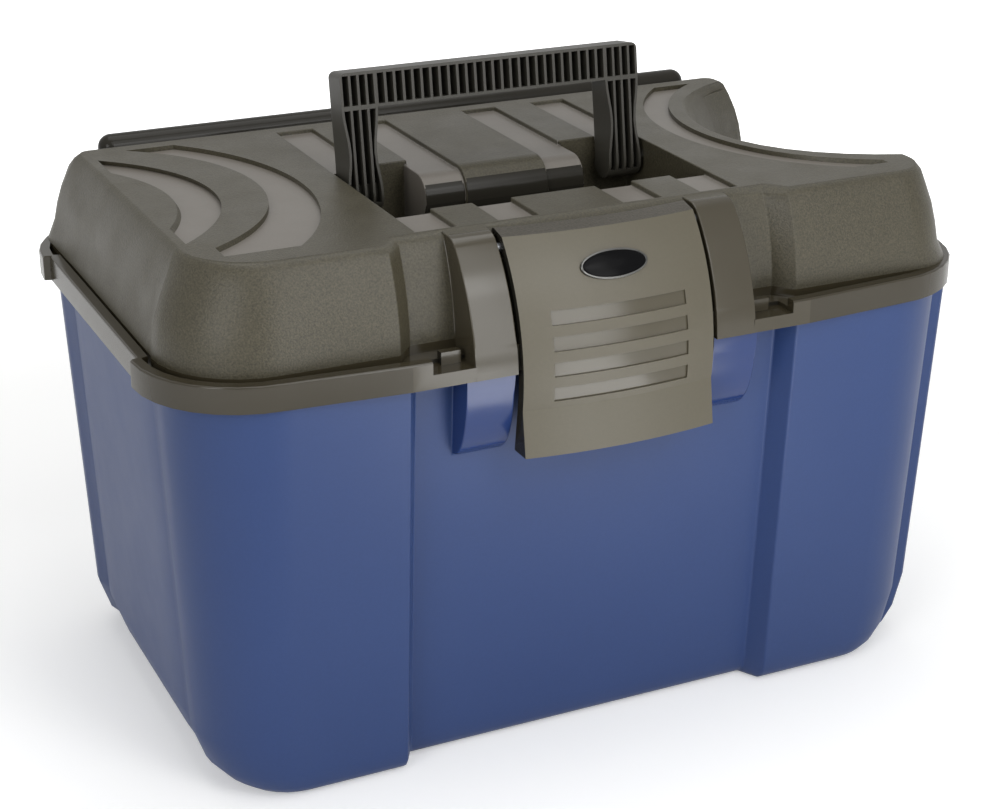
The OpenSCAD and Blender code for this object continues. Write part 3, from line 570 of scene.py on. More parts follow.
@dataclass
class Lid:
    """The domed lid: grained dome, satin stripes and crescents, polished rim, cheeks and rear rail."""

    # Radius of the rounded edges, and the shortest edge that is rounded.
    edge: float = 0.6
    shortest: float = 0.8
    # Heights of the deck, its edge, the dome's shoulder, the rim and its groove, and how far points are off.
    top: float = 251.0
    deck_edge: float = 248.0
    shoulder: float = 242.0
    rim_top: float = 207.5
    groove: float = 203.0
    slack: float = 1.0
    # Depth of the stripes and crescents, how far their floors may be off, and where the crescents begin.
    relief: float = 2.2
    relief_slack: float = 0.3
    crescent_start: float = 90.0
    # The cheeks: their sides, and the Y that they stand before.
    cheek_x: Pair = (48.0, 68.6)
    cheek_back: float = -99.5
    # The tongue in the handle's well, the band between its stripes, and how steep its front is where it is
    # painted dark as shade.
    tongue_half: float = 41.2
    tongue_y: Pair = (-19.0, 11.0)
    tongue_foot: float = 223.5
    tongue_steep: float = 0.8
    band_half: float = 21.0
    # The rear rail, the height above which it is painted dark as shade, and how far it is raised.
    rail_y: Pair = (96.0, 111.3)
    rail_half: float = 163.0
    rail_low: float = 212.5
    rail_rise: float = 1.2
    # The rim pockets, painted dark as shade: ends of the pocket and of the rim's front beside it, which is
    # painted paler as a reflection, and limits in Y and Z.
    pocket_x: Pair = (88.0, 90.0)
    pocket_y: Pair = (-120.0, -112.0)
    pocket_z: Pair = (199.0, 206.5)
    # The dome's foot: the rim's corner, how far inside it the foot lies, and its place between the corners.
    corner: Pair = (150.0, 76.0)
    corner_radius: float = 50.0
    foot_in: float = 6.5
    end_foot: float = 190.2
    bumper: float = 74.0
    # The ends: where their reshaping starts, its growth, its fading on the right, their normals and shares.
    end_start: float = 115.0
    end_width: float = 55.0
    end_fade: float = 60.0
    end_facing: float = 0.2
    end_shares: Pair = (0.8, 1.1)
    # How far an end moves out at each height.
    end_shifts: tuple[Pair, ...] = (
        (202.0, -3.5), (216.0, -3.7), (225.0, -3.1), (234.0, -1.5),
        (242.0, 0.2), (248.0, 2.2), (250.1, 3.6), (251.0, 5.0))
    # The crease at the front left corner, the foot of its slope, and the least rise of its edges.
    ridge: Pair = (-76.0, -62.0)
    ridge_rise: float = 1.0

    def build(self) -> None:
        """Makes the lid's moulding, gives its faces their finishes and reshapes its ends."""
        obj = moulding("lid", "lid_moulding", self.edge, self.is_rounded)
        # Painted light: the rail, the pockets and the tongue's steep front are painted almost black as shade,
        # and the rim's front beside the pockets paler as a reflection.
        dress(obj, LID_GRAINED,
              (RIM_GLOSS, lambda middle, normal: middle.z < self.rim_top),
              (LID_GLOSS, self.on_cheek),
              (STRIPE_SATIN, self.in_stripe),
              (PAINTED_SHADE_GLOSS, self.in_painted_shade))
        with edit_mode(obj, Part.FACE, self.on_left_end):
            cut((0, self.ridge[1], 0), (0, 1, 0), whole=False)
        move_points(obj, self.reshaped)
        with edit_mode(obj, Part.EDGE, self.on_ridge):
            bpy.ops.mesh.mark_sharp()
        smooth(obj, COPIED_ANGLE)
        seat(obj, "lid_body", "lid")

    def is_rounded(self, edge: BMEdge, middle: Vector) -> bool:
        """Says whether a sharp edge is outside on the dome, but not on a crescent, whose tips are thin.

        Args:
            edge: The edge.
            middle: Its middle.

        Returns:
            Whether it is.
        """
        outside = all(face.normal.z > -LEANING for face in edge.link_faces) and middle.z > self.rim_top
        on_crescent = middle.z > self.deck_edge and abs(middle.x) > self.crescent_start
        return outside and edge.calc_length() > self.shortest * MM and not on_crescent

    def on_left_end(self, middle: Vector, normal: Vector) -> bool:
        """Says whether a face is on the outside of the dome's left end."""
        outside = middle.x < -self.end_start and normal.x < -self.end_facing
        return outside and middle.z > self.groove - self.slack

    def on_ridge(self, edge: BMEdge, middle: Vector) -> bool:
        """Says whether an edge runs down the crease at the front left corner.

        Args:
            edge: The edge.
            middle: Its middle.

        Returns:
            Whether it does.
        """
        at_ridge = abs(middle.y - self.ridge[0]) < NEAR / 2 and middle.x < -self.end_start
        rise = abs(edge.verts[0].co.z - edge.verts[1].co.z)
        return at_ridge and self.rim_top < middle.z < self.deck_edge and rise > self.ridge_rise * MM

    def reshaped(self, place: Vector) -> Vector:
        """Straightens the dome's ends, which bulge less than the CAD's, and raises the rear rail.

        Args:
            place: Place of the point.

        Returns:
            Its new place.
        """
        behind = place.y > self.rail_y[0]
        if behind and place.z > self.shoulder:
            place.z += self.rail_rise
        across = abs(place.x)
        on_rail = behind and across < self.rail_half
        if across > self.end_start and not on_rail and self.in_dome(place):
            blend = min(1.0, (across - self.end_start) / self.end_width)
            share = self.end_share(place) * blend * blend * (3 - 2 * blend)
            place.x += self.end_shift(place.z) * share
        return place

    def in_dome(self, place: Vector) -> bool:
        """Says whether a point is on the dome, or on its foot in the groove.

        Args:
            place: Place of the point.

        Returns:
            Whether it is.
        """
        across, along = abs(place.x), abs(place.y)
        beyond = math.hypot(max(across - self.corner[0], 0), max(along - self.corner[1], 0))
        in_corner = self.corner_radius - beyond > self.foot_in
        in_foot = across < self.end_foot if along < self.bumper else in_corner
        return place.z > self.groove - self.slack and (place.z > self.rim_top or in_foot)

    def end_share(self, place: Vector) -> float:
        """Gives a point's share of its end's shift, which is below zero on the left.

        Args:
            place: Place of the point.

        Returns:
            The share.
        """
        if place.x > 0:
            return self.end_shares[1] * min(1.0, max(0.0, 0.5 - place.y / self.end_fade))
        if place.z >= self.shoulder:
            return -self.end_shares[0]
        along = (place.y - self.ridge[0]) / (self.ridge[1] - self.ridge[0])
        return -self.end_shares[0] * min(1.0, max(0.0, along))

    def end_shift(self, z: float) -> float:
        """Gives how far an end of the dome moves out at a height.

        Args:
            z: The height.

        Returns:
            The distance.
        """
        for (low, start), (high, stop) in zip(self.end_shifts, self.end_shifts[1:]):
            if z <= high:
                return start + (stop - start) * max(0.0, z - low) / (high - low)
        return self.end_shifts[-1][1]

    def on_tongue(self, middle: Vector) -> bool:
        """Says whether a face is on the part of the tongue that lies in the handle's well."""
        along = self.tongue_y[0] < middle.y < self.tongue_y[1]
        return along and abs(middle.x) < self.tongue_half and middle.z > self.tongue_foot

    def in_painted_shade(self, middle: Vector, normal: Vector) -> bool:
        """Says whether a face is painted dark as shade: on the rear rail, in a rim pocket or on the tongue's
        steep front.

        Args:
            middle: Middle of the face.
            normal: Its normal.

        Returns:
            Whether it is.
        """
        across = abs(middle.x)
        along_rail = across < self.rail_half and self.rail_y[0] < middle.y < self.rail_y[1]
        on_rail = along_rail and middle.z > self.rail_low
        beside_cheek = self.cheek_x[1] < across < self.pocket_x[0] and normal.y < TILTED
        in_depth = self.pocket_y[0] < middle.y < self.pocket_y[1]
        in_pocket = beside_cheek and in_depth and self.pocket_z[0] < middle.z < self.pocket_z[1]
        return on_rail or in_pocket or self.on_tongue(middle) and normal.y < -self.tongue_steep

    def on_cheek(self, middle: Vector, normal: Vector) -> bool:
        """Says whether a face belongs to a cheek beside the latch, or to the rim's front next to it, which is
        painted paler as a reflection.

        Args:
            middle: Middle of the face.
            normal: Its normal.

        Returns:
            Whether it does.
        """
        across = abs(middle.x)
        in_front = middle.y < self.pocket_y[0] and normal.y < -FACING
        # The rim's front here gets the cheeks' paler polish as a painted reflection.
        painted_rim_reflection = across < self.pocket_x[1] and in_front and middle.z < self.rim_top
        on_face = across < self.cheek_x[1] and middle.y < self.cheek_back
        return across > self.cheek_x[0] and (painted_rim_reflection or on_face)

    def in_stripe(self, middle: Vector, normal: Vector) -> bool:
        """Says whether a face is the floor of a stripe or a crescent."""
        on_floor = normal.z > FACING and abs(middle.z - self.top + self.relief) < self.relief_slack
        return on_floor or abs(middle.x) > self.band_half and self.on_tongue(middle)


def on_arc(middle: Pair, radius: float, angle: float) -> Pair:
    """Gives Y and Z of a place in front of a middle, at a radius and an angle above the level in degrees."""
    turn = math.radians(angle)
    return middle[0] - radius * math.cos(turn), middle[1] + radius * math.sin(turn)


@dataclass
class Latch:
    """The latch flap, a crowned sheet with polished strips, a pull lip and a hook, and its oval badge."""

    # The sheet: half its width, middle (Y and Z), radius and thickness, bevelled edges, segments of a circle.
    half: float = 46.3
    middle: Pair = (-43.5, 190.0)
    radius: float = 90.0
    wall: float = 2.4
    edge: float = 0.4
    segments: int = 144
    # Angles above the level at which its face and its lip begin.
    top: float = 41.0
    crease: float = -8.0
    # How far its sides stand back, the share that its middle stands forward, and the cuts that let it bend.
    crown: float = 4.0
    crown_share: float = 0.3
    cuts: tuple[float, ...] = (-0.84, -0.5, -0.25, 0.0, 0.25, 0.5, 0.84)
    # Step in Y and Z down the lip, and depth of the sides at its foot and above.
    lip: Pair = (-3.0, -21.0)
    lip_side: float = 11.0
    side: float = 5.0
    side_facing: float = 0.75
    # Steps in Y and Z of the band at the top, and its height above the pin.
    band: tuple[Pair, ...] = ((8.0, 1.8), (1.6, -0.5), (0.8, -1.4))
    band_rise: float = 4.0
    band_facing: float = 0.85
    # Y and Z of the pin, outer and inner diameter of the tube on it, and how much shorter the tube is.
    axis: Pair = (-106.5, 244.0)
    knuckle: float = 9.0
    bore: float = 4.3
    knuckle_gap: float = 1.0
    knuckle_segments: int = 40
    # The strips: half their length, their angles, number and depth, and how far their floors may be off.
    strip_half: float = 32.5
    strip_top: float = 19.4
    strip: float = 4.0
    strip_step: float = 7.15
    strips: int = 4
    strip_depth: float = 0.8
    strip_slack: float = 0.35
    # Lowest and highest corners of the hook that grips the tub, and its rounded edges.
    hook: tuple[Point, ...] = ((-30.0, -132.0, 164.0), (30.0, -121.5, 167.0))
    hook_edge: float = 1.0
    # Edges of the sheet that turn by more degrees than these are bevelled, and stay sharp at the crease.
    bevel_angle: float = 32.0
    crease_angle: float = 12.0

    def build(self) -> None:
        """Makes the flap and the badge and dresses them."""
        flap = self.build_flap()
        dress(flap, LATCH_SATIN,
              (LATCH_GLOSS, self.is_strip),
              # The flap's sides are painted almost black as shade.
              (PAINTED_SHADE_GLOSS, self.on_side),
              # The band on top keeps its grain and is painted darker as shade.
              (LATCH_GRAINED_PAINTED_SHADE, self.on_band))
        seat(flap, "latch_body", "latch_flap")
        Badge((self.middle[0] + self.set_back(0), self.middle[1]), self.radius).build()

    def on_side(self, middle: Vector, normal: Vector) -> bool:
        """Says whether a face is on one of the flap's sides."""
        return abs(normal.x) > self.side_facing and abs(middle.x) > self.half - self.knuckle_gap

    def on_band(self, middle: Vector, normal: Vector) -> bool:
        """Says whether a face is on the band at the flap's top."""
        return normal.z > self.band_facing and middle.z > self.axis[1] + self.band_rise

    def angle(self, place: Vector) -> float:
        """Gives the angle of a place about the middle of the curve, above the level, in degrees."""
        return math.degrees(math.atan2(place.z - self.middle[1], self.middle[0] - place.y))

    def reach(self, place: Vector) -> float:
        """Gives the distance of a place from the middle line of the curve."""
        return math.hypot(place.y - self.middle[0], place.z - self.middle[1])

    def in_strip(self, angle: float) -> bool:
        """Says whether an angle lies in one of the strips."""
        down = self.strip_top - angle
        return 0 < down < self.strip_step * self.strips and down % self.strip_step < self.strip

    def is_strip(self, middle: Vector, normal: Vector) -> bool:
        """Says whether a face is the floor of a polished strip.

        Args:
            middle: Middle of the face.
            normal: Its normal.

        Returns:
            Whether it is.
        """
        place = self.flattened(middle)
        on_floor = abs(self.radius - self.strip_depth - self.reach(place)) < self.strip_slack
        in_front = normal.y < -TILTED and abs(place.x) < self.strip_half
        return in_front and on_floor and self.in_strip(self.angle(place))

    def set_back(self, x: float) -> float:
        """Gives how far the crowned sheet stands back at a distance from its middle."""
        return self.crown * ((x / self.half) ** 2 - self.crown_share)

    def flattened(self, place: Vector) -> Vector:
        """Gives the place of a point before the sheet was crowned."""
        return place - Vector((0, self.set_back(place.x), 0))

    def open_at(self, angle: float) -> EdgeTest:
        """Gives a test for the sheet's open edges at an angle in degrees."""
        return lambda edge, middle: edge.is_boundary and abs(self.angle(middle) - angle) < NEAR_ANGLE

    def build_flap(self) -> Object:
        """Makes the curved sheet with its strips, lip, sides, band, knuckle and hook.

        Returns:
            The flap.
        """
        bpy.ops.mesh.primitive_cylinder_add(
            vertices=self.segments, radius=self.radius * MM, depth=2 * self.half * MM,
            end_fill_type="NOTHING", location=(0, self.middle[0] * MM, self.middle[1] * MM),
            rotation=(0, math.radians(90), 0))
        flap = bpy.context.object
        flap.name = flap.data.name = "latch_moulding"
        apply_place(flap)
        with edit_mode(flap, Part.POINT):
            self.cut_at(self.top, "outer")
            self.cut_at(self.crease, "inner")
            for i in range(self.strips):
                self.cut_at(self.strip_top - i * self.strip_step)
                self.cut_at(self.strip_top - i * self.strip_step - self.strip)
            for x in [share * self.half for share in self.cuts] + [-self.strip_half, self.strip_half]:
                cut((x, 0, 0), (1, 0, 0))
        with edit_mode(flap, Part.EDGE, self.open_at(self.crease)):
            extrude((0, *self.lip))
        with edit_mode(flap, Part.EDGE, self.open_at(self.top)):
            for step in self.band:
                extrude((0, *step))
        top_z = on_arc(self.middle, self.radius, self.top)[1]
        with edit_mode(flap, Part.EDGE, lambda edge, middle: edge.is_boundary and middle.z < top_z - NEAR
                       and abs(middle.x) > self.half - NEAR):
            extrude((0, self.side, 0))
        crease_y, crease_z = on_arc(self.middle, self.radius, self.crease)
        back_y, foot_z = crease_y + self.lip[0] + self.side / 2, crease_z + self.lip[1] + NEAR
        with edit_mode(flap, Part.POINT, lambda place: place.z < foot_z and place.y > back_y):
            bpy.ops.transform.translate(value=Vector((0, self.lip_side - self.side, 0)) * MM)
        move_points(flap, lambda place: place + Vector((0, self.set_back(place.x), 0)))
        with edit_mode(flap, Part.FACE, lambda place, normal: abs(place.x) < self.strip_half - NEAR
                       and self.in_strip(self.angle(self.flattened(place)))):
            extrude((0, self.strip_depth, 0))
        apply_modifier(flap, "SOLIDIFY",
                       {"thickness": self.wall * MM, "offset": -1.0, "use_even_offset": True})
        bevel_edges(flap, self.edge, self.bevel_angle)
        with edit_mode(flap, Part.EDGE, lambda edge, middle: is_sharp(edge, self.crease_angle)
                       and abs(self.angle(self.flattened(middle)) - self.crease) < 3 * NEAR_ANGLE):
            bpy.ops.mesh.mark_sharp()
        smooth(flap, MADE_ANGLE)
        for extra in (self.build_knuckle(), self.build_hook()):
            pick(flap)
            extra.select_set(True)
            bpy.ops.object.join()
        return flap

    def cut_at(self, angle: float, drop: str = "") -> None:
        """Cuts the curve along a line across it, at an angle in degrees; outer is the part above."""
        turn = math.radians(angle)
        cut((0, *self.middle), (0, math.sin(turn), math.cos(turn)), drop)

    def build_knuckle(self) -> Object:
        """Makes the tube that turns on the pin.

        Returns:
            The tube.
        """
        bpy.ops.mesh.primitive_cylinder_add(
            vertices=self.knuckle_segments, radius=self.knuckle / 2 * MM,
            depth=(2 * self.half - self.knuckle_gap) * MM, end_fill_type="NOTHING",
            location=(0, self.axis[0] * MM, self.axis[1] * MM), rotation=(0, math.radians(90), 0))
        tube = bpy.context.object
        apply_place(tube)
        apply_modifier(tube, "SOLIDIFY", {"thickness": (self.knuckle - self.bore) / 2 * MM, "offset": -1.0})
        smooth(tube, MADE_ANGLE)
        return tube

    def build_hook(self) -> Object:
        """Makes the bar behind the lip that grips the tub's ledge.

        Returns:
            The bar.
        """
        low, high = Vector(self.hook[0]), Vector(self.hook[1])
        bpy.ops.mesh.primitive_cube_add(size=1.0, location=(low + high) / 2 * MM)
        bar = bpy.context.object
        bar.scale = (high - low) * MM
        apply_place(bar)
        with edit_mode(bar, Part.EDGE, lambda edge, middle: middle.y > high.y - NEAR):
            bpy.ops.mesh.bevel(offset=self.hook_edge * MM, segments=EDGE_STEPS + 1, affect="EDGES")
        smooth(bar, MADE_ANGLE)
        return bar


@dataclass
class Badge:
    """The latch's bare oval badge: a domed black face in a silvered edge."""

    # Y and Z of the middle of the latch's curve, its radius, and the badge's angle on it.
    middle: Pair
    radius: float
    angle: float = 30.0
    # Length and height of the oval, how far its foot is sunk, its thickness at the edge, and its segments.
    length: float = 32.0
    height: float = 13.0
    sunk: float = 1.0
    thick: float = 1.6
    segments: int = 64
    # Half length, half height and level of each ring, from the edge to the middle.
    rings: tuple[Point, ...] = (
        (15.8, 6.3, 1.8), (15.3, 5.8, 1.85), (15.1, 5.6, 1.6), (14.2, 5.0, 1.9),
        (12.0, 4.0, 2.15), (8.0, 2.6, 2.35), (3.5, 1.1, 2.42))
    # Half length and half height at which the silvered edge begins, and the share of them that is black.
    silver: Pair = (15.2, 5.7)
    black_share: float = 0.995

    def build(self) -> None:
        """Makes the badge and gives its rings their finishes."""
        bpy.ops.mesh.primitive_circle_add(vertices=self.segments, radius=0.5, fill_type="NGON")
        badge = bpy.context.object
        badge.name = badge.data.name = "badge_plate"
        badge.scale = (self.length * MM, self.height * MM, 1.0)
        apply_place(badge)
        with edit_mode(badge, Part.FACE):
            extrude((0, 0, self.thick))
            last = (self.length / 2, self.height / 2, self.thick)
            for ring in self.rings:
                extrude((0, 0, ring[2] - last[2]))
                shrink = (ring[0] / last[0], ring[1] / last[1], 1.0)
                bpy.ops.transform.resize(value=shrink, center_override=(0, 0, 0))
                last = ring
        close_up(badge)
        dress(badge, BADGE_BLACK, (BADGE_SILVER, self.is_silver))
        smooth(badge, MADE_ANGLE)
        badge.rotation_euler = (math.radians(90 - self.angle), 0, 0)
        badge.location = Vector((0, *on_arc(self.middle, self.radius - self.sunk, self.angle))) * MM
        apply_place(badge)
        seat(badge, "latch_body", "latch_badge")

    def is_silver(self, place: Vector, normal: Vector) -> bool:
        """Says whether a face of the flat badge lies on its silvered edge."""
        return math.hypot(place.x / self.silver[0], place.y / self.silver[1]) > self.black_share


@dataclass
class Handle:
    """The carrying handle, an arch with an open, finned front."""

    # Half its length, width of a leg, depth, height above the pivot, height of the grip, and its top corners.
    half: float = 76.0
    leg: float = 17.5
    depth: float = 16.0
    reach: float = 56.5
    grip: float = 16.5
    corner: float = 3.0
    corner_steps: int = 7
    # The grip's slots: the walls below and above them, their pitch and their width.
    walls: Pair = (1.3, 1.4)
    grip_pitch: float = 4.5
    grip_slot: float = 3.2
    # The slots in a leg: their number, the fins between them, the rib across them and their foot.
    leg_slots: int = 4
    leg_fin: float = 1.2
    rib: Pair = (39.3, 41.4)
    slot_foot: float = -4.0
    # Depth of the slots beside the pin, and above deep_foot.
    shallow: float = 4.7
    deep: float = 12.5
    deep_foot: float = 4.5
    # How far a leg is drawn in at half its height, and the cuts that let it bend and make its foot round.
    waist: float = 2.0
    waist_cuts: tuple[float, ...] = (0.13, 0.36, 0.5, 0.64, 0.78, 0.9)
    foot_cuts: tuple[float, ...] = (15, 30, 45, 60, 75)
    # Radius of the edges at the back, and width of the other bevelled edges.
    back_edge: float = 2.0
    back_steps: int = 4
    edge: float = 0.35
    # Angle at which the raised handle leans back, and Y and Z of its pins.
    lean: float = 8.0
    pivot: Pair = (0.0, 241.0)

    @property
    def inner(self) -> float:
        """Half the length of the finger space."""
        return self.half - self.leg

    @property
    def leg_pitch(self) -> float:
        """Distance between two slots of a leg."""
        return (self.leg - self.leg_fin) / self.leg_slots

    def build(self) -> None:
        """Makes the handle and dresses it."""
        obj = self.build_arch()
        dress(obj, HANDLE_SATIN)
        seat(obj, "handle_body", "handle")

    def slot_lines(self) -> list[float]:
        """Gives the X of both sides of every slot.

        Returns:
            The places, in millimetres.
        """
        count = round(2 * self.inner / self.grip_pitch)
        lines = []
        for i in range(count):
            x = (i - (count - 1) / 2) * self.grip_pitch
            lines += [x - self.grip_slot / 2, x + self.grip_slot / 2]
        slot = self.leg_pitch - self.leg_fin
        for i in range(self.leg_slots):
            x = self.inner + self.leg / 2 + (i - (self.leg_slots - 1) / 2) * self.leg_pitch
            lines += [x - slot / 2, x + slot / 2, -x - slot / 2, -x + slot / 2]
        return lines

    def in_slot(self, place: Vector) -> bool:
        """Says whether a place on the front lies in a slot.

        Args:
            place: Place of the point.

        Returns:
            Whether it does.
        """
        across = abs(place.x)
        top = self.reach - self.walls[1]
        if across < self.inner:
            share = place.x / self.grip_pitch - 0.5
            inside = abs(share - round(share)) * self.grip_pitch < self.grip_slot / 2
            return inside and self.reach - self.grip + self.walls[0] < place.z < top
        share = (across - self.inner - self.leg / 2) / self.leg_pitch + (self.leg_slots - 1) / 2
        inside = abs(share - round(share)) * self.leg_pitch < (self.leg_pitch - self.leg_fin) / 2
        return inside and (self.slot_foot < place.z < self.rib[0] or self.rib[1] < place.z < top)

    def foot_rounded(self, place: Vector) -> Vector:
        """Draws a point below the pivot onto the leg's round foot.

        Args:
            place: Place of the point.

        Returns:
            Its new place.
        """
        if place.z < 0:
            place.y *= math.sqrt(max(0.0, 1 - (2 * place.z / self.depth) ** 2))
        return place

    def drawn_in(self, place: Vector) -> Vector:
        """Draws a leg's outer walls in at half its height, most at the front.

        Args:
            place: Place of the point.

        Returns:
            Its new place.
        """
        beside = abs(place.x) - self.inner - self.leg / 2
        if abs(beside) > self.leg / 2 - 2 * self.leg_fin and 0 < place.z < self.rib[0]:
            share = math.sin(math.pi * place.z / self.rib[0]) ** 2 * (0.5 - place.y / self.depth)
            place.x -= math.copysign(self.waist * share, beside) * math.copysign(1, place.x)
        return place

    def build_arch(self) -> Object:
        """Makes the arch with its slots and round feet.

        Returns:
            The handle.
        """
        r = self.depth / 2
        grip_foot = self.reach - self.grip
        bpy.ops.mesh.primitive_plane_add(size=1.0, location=(0, -r * MM, (self.reach - r) / 2 * MM),
                                         rotation=(math.radians(90), 0, 0))
        obj = bpy.context.object
        obj.name = obj.data.name = "handle_moulding"
        obj.scale = (2 * self.half * MM, (self.reach + r) * MM, 1.0)
        apply_place(obj)
        with edit_mode(obj, Part.POINT, lambda place: place.z > self.reach - NEAR):
            bpy.ops.mesh.bevel(offset=self.corner * MM, segments=self.corner_steps, affect="VERTICES")
            for x in self.slot_lines() + [-self.inner, self.inner]:
                cut((x, 0, 0), (1, 0, 0))
            feet = [-r * math.sin(math.radians(angle)) for angle in self.foot_cuts]
            waist = [self.rib[0] * share for share in self.waist_cuts]
            slots = [grip_foot, grip_foot + self.walls[0], self.reach - self.walls[1]]
            for z in feet + waist + [0.0, self.deep_foot, *self.rib] + slots:
                cut((0, 0, z), (0, 0, 1))
        with edit_mode(obj, Part.FACE, lambda place, normal: abs(place.x) < self.inner
                       and place.z < grip_foot):
            bpy.ops.mesh.delete(type="FACE")
            bpy.ops.mesh.select_all(action="SELECT")
            extrude((0, self.depth, 0))
        move_points(obj, self.foot_rounded)
        close_up(obj)
        with edit_mode(obj, Part.FACE, lambda place, normal: normal.y < -LEANING and self.in_slot(place)):
            extrude((0, self.shallow, 0))
        with edit_mode(obj, Part.FACE, lambda place, normal: normal.y < -FACING and place.z > self.deep_foot
                       and abs(place.y + r - self.shallow) < NEAR and self.in_slot(place)):
            extrude((0, self.deep - self.shallow, 0))
        move_points(obj, self.drawn_in)
        close_up(obj)
        with edit_mode(obj, Part.EDGE, lambda edge, middle: is_sharp(edge) and middle.y > r - NEAR):
            bpy.ops.mesh.bevel(offset=self.back_edge * MM, segments=self.back_steps, affect="EDGES",
                               clamp_overlap=False)
        bevel_edges(obj, self.edge, MADE_ANGLE)
        smooth(obj, MADE_ANGLE)
        obj.rotation_euler = (math.radians(-self.lean), 0, 0)
        obj.location = (0, self.pivot[0] * MM, self.pivot[1] * MM)
        apply_place(obj)
        return obj


@dataclass
class Tray:
    """The lift-out tray inside the tub."""

    # Radius of the rounded edges, and the shortest edge that is rounded.
    edge: float = 0.5
    shortest: float = 0.7

    def build(self) -> None:
        """Makes the tray's moulding."""
        obj = moulding("lift_out_tray", "tray_moulding", self.edge,
                       lambda edge, middle: edge.calc_length() > self.shortest * MM)
        dress(obj, TRAY_SATIN)
        seat(obj, "tray_body", "lift_out_tray")


@dataclass
class Pins:
    """The steel pins of the hinges, the handle and the latch."""

    nodes: tuple[str, ...] = (
        "hinge_pin_left", "hinge_pin_right", "handle_pin_left", "handle_pin_right", "latch_pin")

    def dress(self) -> None:
        """Gives the CAD pins their steel."""
        steel = PIN_STEEL.material()
        for name in self.nodes:
            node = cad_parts[name]
            node.data.materials.clear()
            node.data.materials.append(steel)
            LOG.info("%s keeps its CAD shape, in steel", name)


@dataclass
class Softbox:
    """One area lamp that faces the middle of the box.

    Attributes:
        name: Name of the lamp.
        place: Where it stands, in metres.
        width: Width of its face, in metres.
        height: Height of its face, in metres.
        power: Watts.
        aim: Point that it faces, in metres, if it isn't the box.
        spin: Turn about the vertical, in degrees.
    """

    name: str
    place: Point
    width: float
    height: float
    power: float
    aim: Point | None = None
    spin: float = 0.0

    def build(self, box: Vector) -> None:
        """Adds the lamp and turns it to its point.

        Args:
            box: Middle of the box, in metres.
        """
        aim = Vector(self.aim) if self.aim else box
        turn = (aim - Vector(self.place)).to_track_quat("-Z", "Y").to_euler()
        turn.z += math.radians(self.spin)
        bpy.ops.object.light_add(type="AREA", location=self.place, rotation=turn)
        lamp = bpy.context.object
        lamp.name = self.name
        lamp.data.shape = "RECTANGLE"
        lamp.data.size = self.width
        lamp.data.size_y = self.height
        lamp.data.energy = self.power
        lamp.visible_camera = False


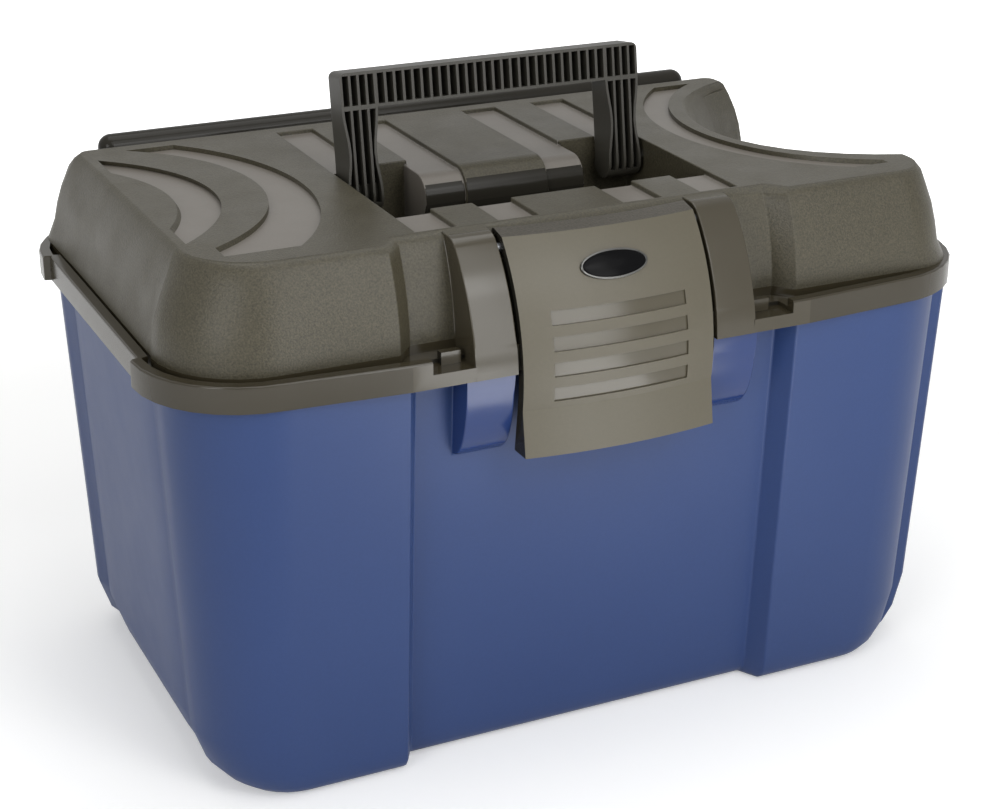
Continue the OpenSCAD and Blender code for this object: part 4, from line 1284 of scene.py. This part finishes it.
@dataclass
class Studio:
    """Pale floor, soft lamps, white surroundings and the camera at the photograph's angle."""

    # Point that the lamps face, and the camera: its place in metres, its angles in degrees, its lens.
    aim: Point = (0.0, 0.0, 0.13)
    camera_place: Point = (-0.4018, -0.8625, 0.5209)
    camera_pitch: float = 90 - 22.67
    camera_turn: float = -25.2
    lens: float = 74.8
    sensor: float = 36.0
    # The floor glows weakly near the box and white at shadow_reach. Mirrors see a share of floor and world.
    floor_size: float = 14.0
    floor_colour: str = "#ebebea"
    fill: float = 0.4
    floor_glow: float = 0.3
    shadow_reach: Pair = (0.42, 1.0)
    gloss_share: float = 0.5
    lamps: list[Softbox] = field(default_factory=lambda: [
        Softbox("key_softbox", (0.3, -1.5, 1.8), 1.3, 1.3, 11.0),
        Softbox("left_softbox", (-1.35, -1.0, 0.8), 0.7, 0.9, 9.0),
        Softbox("top_softbox", (0.1, 0.3, 2.2), 1.6, 1.6, 16.0),
        Softbox("front_light", (0.40, -1.42, 0.66), 0.5, 1.25, 7.5),
        Softbox("table_glare", (0.22, -0.78, 0.004), 0.2, 0.95, 2.2, (0.22, -0.78, 1.0), 17.0),
    ])

    def build(self) -> None:
        """Makes the floor, the world, the lamps and the camera."""
        self.build_world()
        self.build_floor()
        for lamp in self.lamps:
            lamp.build(Vector(self.aim))
        turn = (math.radians(self.camera_pitch), 0.0, math.radians(self.camera_turn))
        bpy.ops.object.camera_add(location=self.camera_place, rotation=turn)
        camera = bpy.context.object
        camera.name = "photo_camera"
        camera.data.lens = self.lens
        camera.data.sensor_width = self.sensor
        camera.data.sensor_fit = "HORIZONTAL"
        bpy.context.scene.camera = camera
        bpy.context.scene.view_settings.view_transform = "Standard"

    def shown_share(self, tree: NodeTree) -> NodeSocket:
        """Adds the nodes that are 1 for camera and transmission rays, and a share of it for glossy ones.

        Args:
            tree: Tree that gets them.

        Returns:
            The socket with that value.
        """
        path = add_node(tree, "LightPath").outputs
        mirrored = add_node(tree, "Math", {"operation": "MULTIPLY", "1": self.gloss_share},
                            {"0": path["Is Glossy Ray"]})
        seen = add_node(tree, "Math", {"operation": "MAXIMUM"},
                        {"0": path["Is Camera Ray"], "1": mirrored.outputs[0]})
        return add_node(tree, "Math", {"operation": "MAXIMUM"},
                        {"0": seen.outputs[0], "1": path["Is Transmission Ray"]}).outputs[0]

    def build_world(self) -> None:
        """Makes surroundings that look white and light the box softly."""
        world = bpy.data.worlds.new("white_surroundings")
        bpy.context.scene.world = world
        world.use_nodes = True
        tree = world.node_tree
        tree.nodes.clear()
        seen = self.shown_share(tree)
        strength = add_node(tree, "MapRange", {"To Min": self.fill, "To Max": 1.0}, {"Value": seen})
        shader = add_node(tree, "Background", {"Color": linear(WHITE)},
                          {"Strength": strength.outputs["Result"]})
        add_node(tree, "OutputWorld", links={"Surface": shader.outputs["Background"]})

    def build_floor(self) -> None:
        """Makes the pale floor, which keeps the shadow near the box and goes to white further off."""
        bpy.ops.mesh.primitive_plane_add(size=self.floor_size, location=(0, 0, 0))
        floor = bpy.context.object
        floor.name = "studio_floor"
        material = blank_material("pale_studio_floor")
        tree = material.node_tree
        seen = self.shown_share(tree)
        place = add_node(tree, "TexCoord").outputs["Object"]
        away = add_node(tree, "VectorMath", {"operation": "LENGTH"}, {"0": place})
        near, far = self.shadow_reach
        white = add_node(tree, "MapRange",
                         {"interpolation_type": "SMOOTHSTEP", "From Min": near, "From Max": far,
                          "To Min": self.floor_glow, "To Max": 1.0}, {"Value": away.outputs["Value"]})
        glow = add_node(tree, "Math", {"operation": "MULTIPLY"},
                        {"0": white.outputs["Result"], "1": seen})
        shader = add_node(tree, "BsdfPrincipled",
                          {"Base Color": linear(self.floor_colour), "Roughness": 0.9,
                           "Specular IOR Level": 0.0, "Emission Color": linear(WHITE)},
                          {"Emission Strength": glow.outputs[0]})
        add_node(tree, "OutputMaterial", links={"Surface": shader.outputs["BSDF"]})
        floor.data.materials.append(material)


def main() -> None:
    """Builds the box's sub-assemblies and the studio, in order."""
    logging.basicConfig(level=logging.INFO, format="%(name)s: %(message)s")
    bpy.ops.object.select_all(action="DESELECT")
    Studio().build()
    for part in (Tub(), Lid(), Latch(), Handle(), Tray()):
        part.build()
    Pins().dress()


if __name__ == "__main__":
    main()
